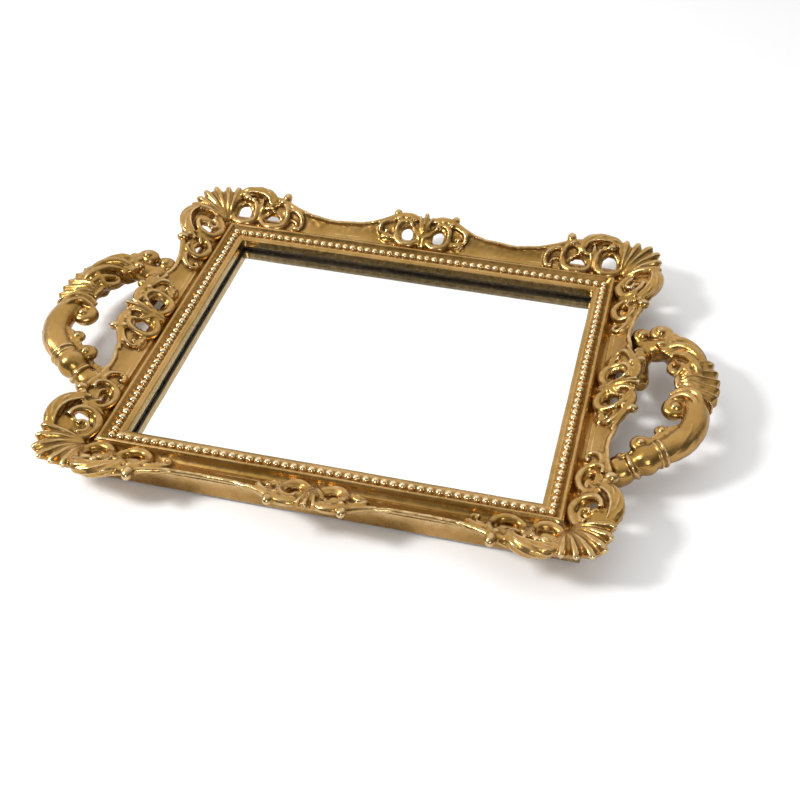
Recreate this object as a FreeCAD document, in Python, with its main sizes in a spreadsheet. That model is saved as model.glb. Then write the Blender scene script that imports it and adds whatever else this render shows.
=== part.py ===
"""Dresser vanity tray: a cast resin mirror frame with two scrolled handles, a silvered glass
plate held in a rebate by a backing board, clips and screws, and a felt base on four felt feet.

Millimetres, +Z up. X runs along the tray from handle to handle, and Y from front to back.
The origin is on the table, under the middle of the tray. Distances named "out" are measured
outwards from the ridge, the sharp rectangular line that frames the beads.
"""

import FreeCAD, Part
import Sketcher
import math
import os

from FreeCAD import Placement, Rotation, Vector

DIMENSIONS = [
    # moulding of the frame
    ("ridge_half_length", 120.8, "middle of the tray to the ridge along X"),
    ("ridge_half_depth", 94.0, "middle of the tray to the ridge along Y"),
    ("ridge_top", 17.5, "table to the top of the ridge"),
    ("ridge_width", 1.2, "width of the flat on the ridge"),
    ("sight_inset", 10.5, "ridge to the edge of the opening over the mirror"),
    ("lip_top", 15.9, "table to the top of the inner lip"),
    ("groove_floor", 14.0, "table to the floor of the bead groove"),
    ("bead_inset", 4.7, "ridge to the centre line of the beads"),
    ("bead_radius", 1.75, "radius of a bead"),
    ("quirk_out", 6.0, "ridge to the quirk, the narrow step outside the cove"),
    ("quirk_floor", 13.3, "table to the floor of the quirk"),
    ("flange_rise", 24.5, "table to the highest part of the flange at the shells"),
    ("flange_thick", 3.0, "thickness of the flange"),
    ("wall_out", 12.6, "ridge to the outer face of the frame's wall"),
    ("wall_corner", 6.0, "radius of the wall's upright corners"),
    # outline of the flange
    ("waist_out", 15.2, "ridge to the flange's edge where it is narrowest"),
    ("bulge_out", 26.2, "ridge to the flange's edge at the corner scrolls"),
    ("crest_out", 25.2, "ridge to the flange's edge at the middle crests"),
    ("shell_out", 27.4, "ridge to the tips of the corner shells"),
    ("scroll_hole", 4.6, "radius of the larger hole in a corner scroll"),
    ("crest_hole", 3.4, "radius of the holes in a middle crest"),
    ("scroll_rim", 1.9, "radius of the rim round each hole"),
    # what lies in the rebate
    ("rebate_inset", 5.5, "ridge to the wall of the rebate"),
    ("play", 0.5, "gap between the rebate's wall and each plate in it"),
    ("glass_thick", 2.0, "thickness of the glass"),
    ("silver_thick", 0.1, "thickness of the silvering and its paint"),
    ("cushion_thick", 0.4, "thickness of the foam sheet"),
    ("board_thick", 1.6, "thickness of the backing board"),
    ("clip_thick", 0.5, "thickness of a retaining clip"),
    ("clip_width", 8.0, "width of a retaining clip"),
    ("clip_grip", 5.0, "how far a clip reaches over the backing board"),
    ("clip_seat", 9.0, "how far a clip reaches over the casting"),
    ("clip_gap", 0.15, "gap round a clip in its recess"),
    ("screw_radius", 1.25, "radius of a clip screw's shank"),
    ("screw_length", 6.0, "length of a clip screw's shank in the casting"),
    ("head_radius", 2.5, "radius of a clip screw's head"),
    ("head_height", 0.9, "height of a clip screw's head"),
    ("screw_clearance", 0.03, "gap between a screw or dowel and its hole"),
    # base
    ("felt_thick", 0.8, "thickness of the felt sheet"),
    ("felt_margin", 1.5, "felt sheet's edge inside the frame's wall"),
    ("foot_thick", 1.0, "thickness of a felt foot"),
    ("foot_radius", 7.0, "radius of a felt foot"),
    ("foot_inset", 14.0, "wall to the centre of a foot"),
    # handles
    ("handle_reach", 55.6, "frame's wall to the tips of a handle's fan"),
    ("handle_top", 30.0, "table to the highest tip of a handle's fan"),
    ("handle_axis", 21.5, "table to the centre line of a handle's bar"),
    ("root_axis", 9.2, "table to the centre line of a handle's roots"),
    ("root_gap", 0.284, "gap between the top of a root and the flange's underside at the wall"),
    ("root_front", 53.0, "middle of the tray to the front root"),
    ("root_back", 46.0, "middle of the tray to the back root"),
    ("root_radius", 5.0, "radius of a root where it meets the frame"),
    ("bar_radius", 7.0, "radius of a handle's bar where it is thickest"),
    ("dowel_radius", 2.0, "radius of a dowel"),
    ("dowel_in_frame", 12.0, "depth of a dowel in the frame"),
    ("dowel_in_handle", 9.0, "depth of a dowel in a handle"),
]
LONG_CLIPS = (-0.55, 0.55)  # places of the clips along each long side, as a share of its half
SHORT_CLIPS = (0.0,)  # and along each short side
SHELL_FLUTES = 6
LONG_BEADS = 49  # spaces between beads along a long side
SHORT_BEADS = 41  # and along a short side

doc = FreeCAD.newDocument("VanityTray")
sheet = doc.addObject("Spreadsheet::Sheet", "Dimensions")
for row, (alias, value, note) in enumerate(DIMENSIONS, start=1):
    sheet.set(f"A{row}", note)
    sheet.set(f"B{row}", str(value))
    sheet.setAlias(f"B{row}", alias)
doc.recompute()


def size(alias):
    """The value of a driving dimension, read from the sheet."""
    return float(sheet.get(alias))


def cell(alias):
    """The expression that names a cell of the sheet."""
    return f"Dimensions.{alias}"


def extruded(points, bottom, top):
    """An upright prism over a closed outline of plan points."""
    corners = [Vector(x, y, bottom) for x, y in points]
    face = Part.Face(Part.makePolygon(corners + corners[:1]))
    return face.extrude(Vector(0, 0, top - bottom))


def rounded_block(half_x, half_y, bottom, top, radius):
    """A block centred on the origin with rounded upright corners."""
    block = Part.makeBox(2 * half_x, 2 * half_y, top - bottom, Vector(-half_x, -half_y, bottom))
    if radius <= 0:
        return block
    upright = [e for e in block.Edges if abs(e.tangentAt(e.FirstParameter).z) > 0.9]
    return block.makeFillet(radius, upright)


# --- levels that follow from the sheet -------------------------------------------------------
frame_bottom = size("foot_thick") + size("felt_thick")
clip_top = frame_bottom + size("head_height") + size("clip_thick") + 0.1
board_bottom = clip_top
cushion_bottom = board_bottom + size("board_thick")
silver_bottom = cushion_bottom + size("cushion_thick")
glass_bottom = silver_bottom + size("silver_thick")
glass_top = glass_bottom + size("glass_thick")
eaves = size("root_axis") + size("root_radius") + size("root_gap")  # top of the frame's wall
ridge_x, ridge_y = size("ridge_half_length"), size("ridge_half_depth")
wall_x, wall_y = ridge_x + size("wall_out"), ridge_y + size("wall_out")
rebate_x, rebate_y = ridge_x - size("rebate_inset"), ridge_y - size("rebate_inset")


# --- frame ------------------------------------------------------------------------------------
def moulding_profile():
    """The section of the moulding as edges in the plane of (out, up)."""
    out, up = Vector(1, 0, 0), Vector(0, 0, 1)

    def point(d, height):
        return out * d + up * height

    sight, lip = -size("sight_inset"), size("lip_top")
    floor, bead, radius = size("groove_floor"), -size("bead_inset"), size("bead_radius")
    crown, half = size("ridge_top"), size("ridge_width") / 2
    quirk, quirk_z = size("quirk_out"), size("quirk_floor")
    wall, thick, rise = size("wall_out"), size("flange_thick"), size("flange_rise")
    waist, tip = size("waist_out"), size("shell_out") + 2.0
    step = 0.8
    before_cove = [
        point(-size("rebate_inset"), frame_bottom),
        point(-size("rebate_inset"), glass_top),
        point(sight, glass_top),
        point(sight, lip - step),
        point(sight + step, lip),
        point(bead - radius - step, lip),
        point(bead - radius, floor),
    ]
    crest_start = [
        point(bead + radius, floor),
        point(-half - step, floor + step),
        point(-half, crown),
        point(half, crown),
    ]
    cove_end = point(quirk - step, quirk_z)
    cove_middle = point(quirk * 0.38, quirk_z + (crown - quirk_z) * 0.22)
    waist_z = quirk_z + (rise - quirk_z) * 0.57
    flange_top = [point(quirk, quirk_z), point(quirk + 0.3, quirk_z + step), point(waist, waist_z)]
    outer = [
        point(tip, rise + 0.4),
        point(tip, rise + 0.4 - thick),
    ]
    under_middle = point(waist + 1.0, waist_z - thick + 0.2)
    wall_top = point(wall, eaves)
    wall_foot = point(wall, frame_bottom)

    def lines(points):
        return [Part.makeLine(a, b) for a, b in zip(points, points[1:])]

    edges = lines(before_cove + crest_start)
    edges.append(Part.Arc(crest_start[-1], cove_middle, cove_end).toShape())
    edges += lines([cove_end] + flange_top)
    dish = point((waist + tip) / 2, waist_z + (rise - waist_z) * 0.72)
    edges.append(Part.Arc(flange_top[-1], dish, outer[0]).toShape())
    edges += lines(outer)
    edges += lines([outer[1], under_middle])
    edges += lines([under_middle, wall_top, wall_foot, before_cove[0]])
    return Part.Wire(Part.__sortEdges__(edges))


def bead_places():
    """The centre of every bead in the groove round the opening."""
    x, y = ridge_x - size("bead_inset"), ridge_y - size("bead_inset")
    height = size("groove_floor") + 0.3 * size("bead_radius")
    for count, half, other in ((LONG_BEADS, x, y), (SHORT_BEADS, y, x)):
        first = 0 if half == x else 1
        for index in range(first, count + 1 - first):
            along = -half + 2 * half * index / count
            for side in (-other, other):
                yield Vector(along, side, height) if half == x else Vector(side, along, height)


def mitred_rails():
    """The moulding run round the rectangle of the ridge, mitred at its four corners."""
    reach = size("shell_out") + 8.0
    long_x, long_y = ridge_x + reach, ridge_y + reach
    inner = ridge_x - ridge_y
    top = size("flange_rise") + 5.0
    rails = []
    for quarter in range(4):
        along_y = quarter % 2 == 1
        base, length = (ridge_x, long_y) if along_y else (ridge_y, long_x)
        wire = moulding_profile()
        wire.translate(Vector(base, 0, 0))
        rail = Part.Face(wire).extrude(Vector(0, 2 * length, 0))
        rail.translate(Vector(0, -length, 0))
        turn = (-90, 0, 90, 180)[quarter]
        rail.rotate(Vector(0, 0, 0), Vector(0, 0, 1), turn)
        if along_y:
            side = 1 if turn == 0 else -1
            wedge = [(side * inner, 0), (side * long_x, -long_y), (side * long_x, long_y)]
        else:
            side = -1 if turn == -90 else 1
            wedge = [(-inner, 0), (inner, 0), (long_x, side * long_y), (-long_x, side * long_y)]
        rails.append(rail.common(extruded(wedge, -1.0, top)))
    return rails[0].multiFuse(rails[1:]).removeSplitter()


def edge_points(half_length):
    """Plan points (along, out) of the flange's edge, from a corner scroll to the next one."""
    waist, bulge, crest = size("waist_out"), size("bulge_out"), size("crest_out")
    corner = [
        (half_length - 2.0, bulge),
        (half_length - 10.0, bulge - 0.8),
        (half_length - 22.0, waist + (bulge - waist) * 0.45),
        (half_length - 38.0, waist + (bulge - waist) * 0.12),
    ]
    middle = [
        (34.0, waist + (crest - waist) * 0.12),
        (20.0, waist + (crest - waist) * 0.72),
        (9.0, crest - 0.4),
        (0.0, crest),
    ]
    side = corner + middle
    return side + [(-along, out) for along, out in reversed(side[:-1])]


def shell_points():
    """Plan points of a corner shell's rim, from the X side to the Y side, out from the ridge."""
    reach, first, last = size("shell_out"), math.radians(-2.0), math.radians(92.0)
    points = []
    for flute in range(SHELL_FLUTES + 1):
        angle = first + (last - first) * flute / SHELL_FLUTES
        squareness = 1.0 / max(abs(math.cos(angle)), abs(math.sin(angle)))
        radius = reach * (0.45 + 0.55 * squareness)
        points.append((radius * math.cos(angle), radius * math.sin(angle)))
    return points


def flange_outline():
    """The scalloped outline of the whole flange: splines along the sides, lobes at the shells."""
    edges = []
    sides = [
        (ridge_x, (1, 0), (0, 1), ridge_y),
        (ridge_y, (0, -1), (1, 0), ridge_x),
        (ridge_x, (-1, 0), (0, -1), ridge_y),
        (ridge_y, (0, 1), (-1, 0), ridge_x),
    ]
    rims = []
    for half, run, away, base in sides:
        points = [
            Vector(
                -run[0] * along + away[0] * (base + out),
                -run[1] * along + away[1] * (base + out),
                0,
            )
            for along, out in edge_points(half)
        ]
        curve = Part.BSplineCurve()
        curve.interpolate(points)
        edges.append(curve.toShape())
        rims.append((points[0], points[-1]))
    corners = [(1, 1), (1, -1), (-1, -1), (-1, 1)]
    for index, (sign_x, sign_y) in enumerate(corners):
        here, following = rims[index][1], rims[(index + 1) % 4][0]
        rim = [
            Vector(sign_x * (ridge_x + out_x), sign_y * (ridge_y + out_y), 0)
            for out_x, out_y in shell_points()
        ]
        if (rim[0] - here).Length > (rim[-1] - here).Length:
            rim.reverse()
        chain = [here] + rim[1:-1] + [following]
        centre = Vector(sign_x * ridge_x, sign_y * ridge_y, 0)
        for a, b in zip(chain, chain[1:]):
            middle = (a + b) * 0.5
            away = middle - centre
            away.normalize()
            edges.append(Part.Arc(a, middle + away * (a - b).Length * 0.22, b).toShape())
    return Part.Wire(Part.__sortEdges__(edges))


def on_flange(out):
    """Height of the flange's top at a distance out from the ridge."""
    quirk_z, rise = size("quirk_floor"), size("flange_rise")
    waist_z = quirk_z + (rise - quirk_z) * 0.57
    quirk, waist, tip = size("quirk_out"), size("waist_out"), size("shell_out") + 2.0
    if out < waist:
        return quirk_z + (waist_z - quirk_z) * (out - quirk) / (waist - quirk)
    return waist_z + (rise - waist_z) * ((out - waist) / (tip - waist)) ** 0.7


def side_places():
    """(origin, direction along the side, direction out) for each half side at a corner."""
    for sign_x in (-1, 1):
        for sign_y in (-1, 1):
            corner = Vector(sign_x * ridge_x, sign_y * ridge_y, 0)
            yield corner, Vector(-sign_x, 0, 0), Vector(0, sign_y, 0)
            yield corner, Vector(0, -sign_y, 0), Vector(sign_x, 0, 0)


def middle_places():
    """(middle of a side, direction along it, direction out) for the four sides."""
    yield Vector(0, -ridge_y, 0), Vector(1, 0, 0), Vector(0, -1, 0)
    yield Vector(0, ridge_y, 0), Vector(-1, 0, 0), Vector(0, 1, 0)
    yield Vector(-ridge_x, 0, 0), Vector(0, -1, 0), Vector(-1, 0, 0)
    yield Vector(ridge_x, 0, 0), Vector(0, 1, 0), Vector(1, 0, 0)


def scroll_holes():
    """(centre on the flange's top, radius) of every pierced hole."""
    big, small = size("scroll_hole"), size("crest_hole")
    for corner, along, out in side_places():
        yield corner + along * 4.0 + out * 16.5, big
        yield corner + along * 24.5 + out * 14.2, big * 0.8
    for middle, along, out in middle_places():
        for side in (-1, 1):
            yield middle + along * side * 9.5 + out * 14.5, small


def out_of(point):
    """Distance of a plan point out from the ridge rectangle."""
    return max(abs(point.x) - ridge_x, abs(point.y) - ridge_y)


def ring(point, radius):
    """The raised rim round a hole, tilted with the flange."""
    height = on_flange(out_of(point)) - 0.2
    rim = Part.makeTorus(radius + size("scroll_rim") * 0.6, size("scroll_rim"))
    rim.translate(Vector(point.x, point.y, height))
    return rim


def drop(root, tip, slim, full):
    """A turned drop, slim at its root, with a round end of the full radius about its tip."""
    line = tip - root
    length = line.Length
    foot, shoulder = Vector(slim, 0, 0), Vector(full, 0, length)
    half = full * math.sqrt(0.5)
    end = Vector(0, 0, length + full)
    outline = [
        Part.makeLine(Vector(), foot),
        Part.makeLine(foot, shoulder),
        Part.Arc(shoulder, Vector(half, 0, length + half), end).toShape(),
        Part.makeLine(end, Vector()),
    ]
    turned = Part.Face(Part.Wire(outline)).revolve(Vector(), Vector(0, 0, 1), 360)
    turned.Placement = Placement(root, Rotation(Vector(0, 0, 1), line))
    return turned


def shell_flutes():
    """The flutes of the four corner shells, each a slim drop that lies on the flange."""
    flutes = []
    for sign_x in (-1, 1):
        for sign_y in (-1, 1):
            root = Vector(sign_x * (ridge_x + 4.0), sign_y * (ridge_y + 4.0), on_flange(9.0))
            rim = shell_points()
            for a, b in zip(rim, rim[1:]):
                tip = Vector(
                    sign_x * (ridge_x + (a[0] + b[0]) * 0.45),
                    sign_y * (ridge_y + (a[1] + b[1]) * 0.45),
                    size("flange_rise") - 1.4,
                )
                flutes.append(drop(root, tip, 1.2, 2.6))
    return flutes


def clip_places():
    """(place on the rebate's edge, direction out, turn about Z) of each clip."""
    for share in LONG_CLIPS:
        yield Vector(share * rebate_x, -rebate_y, 0), Vector(0, -1, 0), -90
        yield Vector(share * rebate_x, rebate_y, 0), Vector(0, 1, 0), 90
    for share in SHORT_CLIPS:
        yield Vector(-rebate_x, share * rebate_y, 0), Vector(-1, 0, 0), 180
        yield Vector(rebate_x, share * rebate_y, 0), Vector(1, 0, 0), 0


def clip_blank(gap, bottom, top):
    """A clip's block at the origin, reaching over the board on -X and the casting on +X."""
    length = size("clip_grip") + size("clip_seat") + gap
    width = size("clip_width") + 2 * gap
    return Part.makeBox(length, width, top - bottom, Vector(-size("clip_grip"), -width / 2, bottom))


def placed(shape, place, turn):
    """A copy of a shape, turned about Z and moved to a place."""
    copy = shape.copy()
    copy.rotate(Vector(0, 0, 0), Vector(0, 0, 1), turn)
    copy.translate(place)
    return copy


def screw_offset():
    """Distance from the rebate's wall out to a clip screw."""
    return size("clip_seat") * 0.55


def handle_roots():
    """(side, place on the wall) of the four roots."""
    for side in (-1, 1):
        for y in (-size("root_front"), size("root_back")):
            yield side, Vector(side * wall_x, y, size("root_axis"))


def dowel(side, place, gap):
    """A dowel across the joint between the frame's wall and a handle."""
    inner, outer = size("dowel_in_frame"), size("dowel_in_handle")
    start = Vector(place.x - side * (inner + gap), place.y, place.z)
    radius = size("dowel_radius") + gap
    return Part.makeCylinder(radius, inner + outer + 2 * gap, start, Vector(side, 0, 0))


def frame_shape():
    """The whole casting of the frame."""
    body = mitred_rails()
    outline = Part.Face(flange_outline())
    outline.translate(Vector(0, 0, -1))
    body = body.common(outline.extrude(Vector(0, 0, size("flange_rise") + 10)))
    for flute in shell_flutes():
        body = body.fuse(flute)
    additions = [ring(point, radius) for point, radius in scroll_holes()]
    for corner, along, out in side_places():
        knob = corner + along * 29.0 + out * (size("waist_out") + 3.4)
        knob.z = on_flange(out_of(knob)) + 0.6
        additions.append(Part.makeSphere(2.6, knob))
        tail = corner + along * 44.0 + out * 9.6
        tail.z = on_flange(out_of(tail)) + 0.2
        additions.append(Part.makeSphere(2.0, tail))
    for middle, along, out in middle_places():
        leaf = middle + out * (size("crest_out") - 1.8)
        leaf.z = on_flange(out_of(leaf)) + 0.4
        additions.append(Part.makeSphere(2.6, leaf))
        for side in (-1, 1):
            knob = middle + along * side * 19.0 + out * (size("crest_out") - 3.6)
            knob.z = on_flange(out_of(knob)) + 0.5
            additions.append(Part.makeSphere(2.3, knob))
    for place in bead_places():
        additions.append(Part.makeSphere(size("bead_radius"), place))
    body = body.multiFuse(additions)
    wall = rounded_block(wall_x, wall_y, -1, eaves, size("wall_corner"))
    square = rounded_block(wall_x + 1, wall_y + 1, -1, eaves, 0)
    cutters = [square.cut(wall)]
    for point, radius in scroll_holes():
        drill = Part.makeCylinder(radius * 0.86, 30, Vector(point.x, point.y, size("quirk_floor")))
        cutters.append(drill)
    head_pocket = clip_blank(size("clip_gap"), 0, clip_top + 0.0)
    for place, out, turn in clip_places():
        cutters.append(placed(head_pocket, place, turn))
        pilot = place + out * screw_offset()
        gap = size("screw_clearance")
        cutters.append(
            Part.makeCylinder(
                size("screw_radius") + gap, clip_top + size("screw_length") + gap, pilot
            )
        )
    for side, place in handle_roots():
        cutters.append(dowel(side, place, size("screw_clearance")))
    casting = body.cut(Part.makeCompound(cutters)).removeSplitter()
    whole, *loose = sorted(casting.Solids, key=lambda solid: -solid.Volume)
    if any(solid.Volume > 0.01 for solid in loose):
        raise RuntimeError("the casting of the frame is in more than one piece")
    return whole


def feature(label, shape):
    """A plain feature for a shape that only Part's own functions can make."""
    made = doc.addObject("Part::Feature", label)
    made.Label = label
    made.Shape = shape
    return made


# --- handles ----------------------------------------------------------------------------------
def bar_stations():
    """(x out from the wall, y, z, radius) along a handle's bar, from the front root to the back."""
    bar, root = size("bar_radius"), size("root_radius")
    axis, low = size("handle_axis"), size("root_axis")
    front, back = size("root_front"), size("root_back")
    reach = size("handle_reach")
    outer = reach - bar - 4.5
    rise = axis - low
    return [
        (0.0, -front, low, root),
        (7.0, -front, low, root),
        (15.0, -front - 1.0, low + rise * 0.25, bar * 0.86),
        (22.0, -front + 2.5, low + rise * 0.55, bar * 0.74),
        (30.0, -front + 7.5, axis - 2.0, bar * 0.9),
        (outer - 5.0, -front * 0.62, axis - 0.5, bar),
        (outer, -front * 0.34, axis, bar * 1.02),
        (outer, 2.0, axis, bar * 0.97),
        (outer - 1.0, back * 0.4, axis, bar),
        (outer - 4.0, back * 0.7, axis - 0.5, bar),
        (outer - 12.0, back - 3.0, axis - 1.5, bar * 0.93),
        (outer - 24.0, back + 2.0, low + rise * 0.5, bar * 0.78),
        (7.0, back, low, root),
        (0.0, back, low, root),
    ]


def handle_bar():
    """The bar of a handle as a loft through round sections."""
    stations = bar_stations()
    centres = [Vector(x, y, z) for x, y, z, _ in stations]
    sections = []
    for index, (centre, station) in enumerate(zip(centres, stations)):
        before, after = centres[max(index - 1, 0)], centres[min(index + 1, len(centres) - 1)]
        direction = after - before
        if index < 2:
            direction = Vector(1, 0, 0)
        if index > len(centres) - 3:
            direction = Vector(-1, 0, 0)
        sections.append(Part.Wire(Part.makeCircle(station[3], centre, direction)))
    return Part.makeLoft(sections, True, False)


def handle_shape():
    """The right handle, with its wall face at x = 0."""
    bar, axis = size("bar_radius"), size("handle_axis")
    reach = size("handle_reach")
    outer = reach - bar - 4.5
    parts = [handle_bar()]
    fan_root = Vector(outer - 2.0, 5.0, axis)
    top = size("handle_top")
    for turn, tip_x, tip_z in (
        (0.0, reach - 2.4, top - 7.6),
        (5.5, reach - 2.4, top - 4.8),
        (11.0, reach - 2.8, top - 2.4),
        (16.5, reach - 5.6, top - 2.4),
        (20.0, reach - 10.5, top - 2.4),
    ):
        tip = Vector(tip_x, 5.0 + turn, tip_z)
        line = tip - fan_root
        parts.append(Part.makeCone(5.4, 2.0, line.Length, fan_root, line))
        parts.append(Part.makeSphere(2.4, tip))
    parts.append(Part.makeSphere(4.8, Vector(outer - bar - 4.0, -9.0, axis - 0.5)))
    parts.append(Part.makeSphere(4.0, Vector(outer - bar - 4.0, -26.0, axis)))
    peg = Vector(outer - 23.5, size("root_back") + 2.5, size("root_axis") + 4.0)
    parts.append(Part.makeCylinder(3.6, 11.0, peg))
    drop = [Vector(10.0, size("root_back") - 4.0, size("root_axis")), Vector(12.0, 14.0, 9.0)]
    line = drop[1] - drop[0]
    parts.append(Part.makeCone(4.2, 4.6, line.Length, drop[0], line))
    parts.append(Part.makeSphere(5.0, drop[1]))
    body = parts[0].multiFuse(parts[1:])
    keep = Part.makeBox(reach + 20, 160, size("handle_top") + 10, Vector(0, -80, -5))
    return body.common(keep)


def build_handles():
    """Both handles: the left one is the right one mirrored."""
    for name, side in (("handle_left", -1), ("handle_right", 1)):
        shape = handle_shape()
        shape.translate(Vector(wall_x, 0, 0))
        if side < 0:
            shape = shape.mirror(Vector(0, 0, 0), Vector(1, 0, 0))
        holes = [dowel(s, p, size("screw_clearance")) for s, p in handle_roots() if s == side]
        feature(name, shape.cut(Part.makeCompound(holes)).removeSplitter())


def build_dowels():
    """Four steel dowels, each a cylinder bound to the sheet."""
    inner, outer = cell("dowel_in_frame"), cell("dowel_in_handle")
    wall = f"({cell('ridge_half_length')} + {cell('wall_out')})"
    for end, y in (("front", f"-{cell('root_front')}"), ("back", cell("root_back"))):
        for name, side in (("left", -1), ("right", 1)):
            pin = doc.addObject("Part::Cylinder", f"dowel_{name}_{end}")
            pin.Label = f"dowel_{name}_{end}"
            pin.setExpression("Radius", cell("dowel_radius"))
            pin.setExpression("Height", f"{inner} + {outer}")
            pin.Placement = Placement(Vector(), Rotation(Vector(0, 1, 0), 90 * side))
            pin.setExpression("Placement.Base.x", f"{side} * ({wall} - {inner})")
            pin.setExpression("Placement.Base.y", y)
            pin.setExpression("Placement.Base.z", cell("root_axis"))


# --- plates in the rebate and under the frame ---------------------------------------------------
def plane_of(body, role):
    """A body's own origin plane by its role."""
    return [f for f in body.Origin.OriginFeatures if f.Role == role][0]


def plate(label, half_x, half_y, thickness, bottom):
    """A rectangular plate as a body: a centred rectangle padded upwards."""
    body = doc.addObject("PartDesign::Body", label)
    body.Label = label
    sketch = body.newObject("Sketcher::SketchObject", f"{label}_outline")
    sketch.AttachmentSupport = [(plane_of(body, "XY_Plane"), "")]
    sketch.MapMode = "FlatFace"
    corners = [Vector(-10, -8), Vector(10, -8), Vector(10, 8), Vector(-10, 8)]
    for a, b in zip(corners, corners[1:] + corners[:1]):
        sketch.addGeometry(Part.LineSegment(a, b), False)
    for index in range(4):
        sketch.addConstraint(Sketcher.Constraint("Coincident", index, 2, (index + 1) % 4, 1))
    for index in (0, 2):
        sketch.addConstraint(Sketcher.Constraint("Horizontal", index))
    for index in (1, 3):
        sketch.addConstraint(Sketcher.Constraint("Vertical", index))
    sketch.addConstraint(Sketcher.Constraint("Symmetric", 0, 1, 2, 1, -1, 1))
    width = sketch.addConstraint(Sketcher.Constraint("DistanceX", 0, 1, 0, 2, 20.0))
    depth = sketch.addConstraint(Sketcher.Constraint("DistanceY", 1, 1, 1, 2, 16.0))
    sketch.setExpression(f"Constraints[{width}]", f"2 * ({half_x})")
    sketch.setExpression(f"Constraints[{depth}]", f"2 * ({half_y})")
    pad = body.newObject("PartDesign::Pad", f"{label}_pad")
    pad.Profile = sketch
    pad.setExpression("Length", thickness)
    body.setExpression("Placement.Base.z", bottom)
    return body


def build_plates():
    """Glass, silvering, foam and board in the rebate, and the felt under the frame."""
    half_x = f"{cell('ridge_half_length')} - {cell('rebate_inset')} - {cell('play')}"
    half_y = f"{cell('ridge_half_depth')} - {cell('rebate_inset')} - {cell('play')}"
    base = f"{cell('foot_thick')} + {cell('felt_thick')}"
    board = f"{base} + {cell('head_height')} + {cell('clip_thick')} + 0.1"
    cushion = f"{board} + {cell('board_thick')}"
    silver = f"{cushion} + {cell('cushion_thick')}"
    glass = f"{silver} + {cell('silver_thick')}"
    plate("backing_board", half_x, half_y, cell("board_thick"), board)
    plate("cushion_sheet", half_x, half_y, cell("cushion_thick"), cushion)
    plate("mirror_silvering", half_x, half_y, cell("silver_thick"), silver)
    plate("mirror_glass", half_x, half_y, cell("glass_thick"), glass)
    felt_x = f"{cell('ridge_half_length')} + {cell('wall_out')} - {cell('felt_margin')}"
    felt_y = f"{cell('ridge_half_depth')} + {cell('wall_out')} - {cell('felt_margin')}"
    felt = plate("base_felt", felt_x, felt_y, cell("felt_thick"), cell("foot_thick"))
    doc.recompute()
    round_off = felt.newObject("PartDesign::Fillet", "base_felt_corners")
    pad = doc.getObject("base_felt_pad")
    upright = [
        f"Edge{n}"
        for n, edge in enumerate(pad.Shape.Edges, start=1)
        if abs(edge.tangentAt(edge.FirstParameter).z) > 0.9
    ]
    round_off.Base = (pad, upright)
    round_off.setExpression("Radius", f"{cell('wall_corner')} - {cell('felt_margin')}")


def build_feet():
    """Four round felt feet under the corners of the felt sheet."""
    inset_x = f"{cell('ridge_half_length')} + {cell('wall_out')} - {cell('foot_inset')}"
    inset_y = f"{cell('ridge_half_depth')} + {cell('wall_out')} - {cell('foot_inset')}"
    for depth_name, sign_y in (("front", -1), ("back", 1)):
        for side_name, sign_x in (("left", -1), ("right", 1)):
            foot = doc.addObject("Part::Cylinder", f"foot_{depth_name}_{side_name}")
            foot.Label = f"foot_{depth_name}_{side_name}"
            foot.setExpression("Radius", cell("foot_radius"))
            foot.setExpression("Height", cell("foot_thick"))
            foot.setExpression("Placement.Base.x", f"{sign_x} * ({inset_x})")
            foot.setExpression("Placement.Base.y", f"{sign_y} * ({inset_y})")


def build_clips():
    """Sheet-steel clips over the backing board, and the screws that hold them."""
    bottom = clip_top - size("clip_thick")
    gap = size("screw_clearance")
    clip = clip_blank(0, bottom, clip_top)
    hole = Part.makeCylinder(size("screw_radius") + gap, 20, Vector(screw_offset(), 0, 0))
    corners = [e for e in clip.Edges if abs(e.tangentAt(e.FirstParameter).z) > 0.9]
    clip = clip.makeFillet(1.5, corners).cut(hole)
    shank = Part.makeCylinder(size("screw_radius"), size("screw_length") + size("clip_thick"))
    shank.translate(Vector(0, 0, bottom))
    head = Part.makeCylinder(size("head_radius"), size("head_height"))
    head = head.makeFillet(size("head_height") * 0.45, [head.Edges[2]])
    head.translate(Vector(0, 0, bottom - size("head_height")))
    screw = shank.fuse(head)
    slot = size("head_radius") * 1.3
    for turn in (0, 90):
        bar = Part.makeBox(slot, 0.7, 0.6, Vector(-slot / 2, -0.35, bottom - size("head_height") - 0.05))
        bar.rotate(Vector(0, 0, 0), Vector(0, 0, 1), turn)
        screw = screw.cut(bar)
    clips, screws = [], []
    for place, out, turn in clip_places():
        clips.append(placed(clip, place, turn))
        screws.append(placed(screw, place + out * screw_offset(), turn))
    feature("retaining_clips", Part.makeCompound(clips))
    feature("clip_screws", Part.makeCompound(screws))


NODES = [
    "tray_frame", "handle_left", "handle_right",
    "dowel_left_front", "dowel_left_back", "dowel_right_front", "dowel_right_back",
    "mirror_glass", "mirror_silvering", "cushion_sheet", "backing_board",
    "retaining_clips", "clip_screws", "base_felt",
    "foot_front_left", "foot_front_right", "foot_back_left", "foot_back_right",
]

feature("tray_frame", frame_shape())
build_handles()
build_dowels()
build_plates()
build_feet()
build_clips()
doc.recompute()

for made in doc.Objects:
    if "Invalid" in made.State or "Error" in made.State:
        raise RuntimeError(f"{made.Label} did not build: {made.State}")

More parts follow.
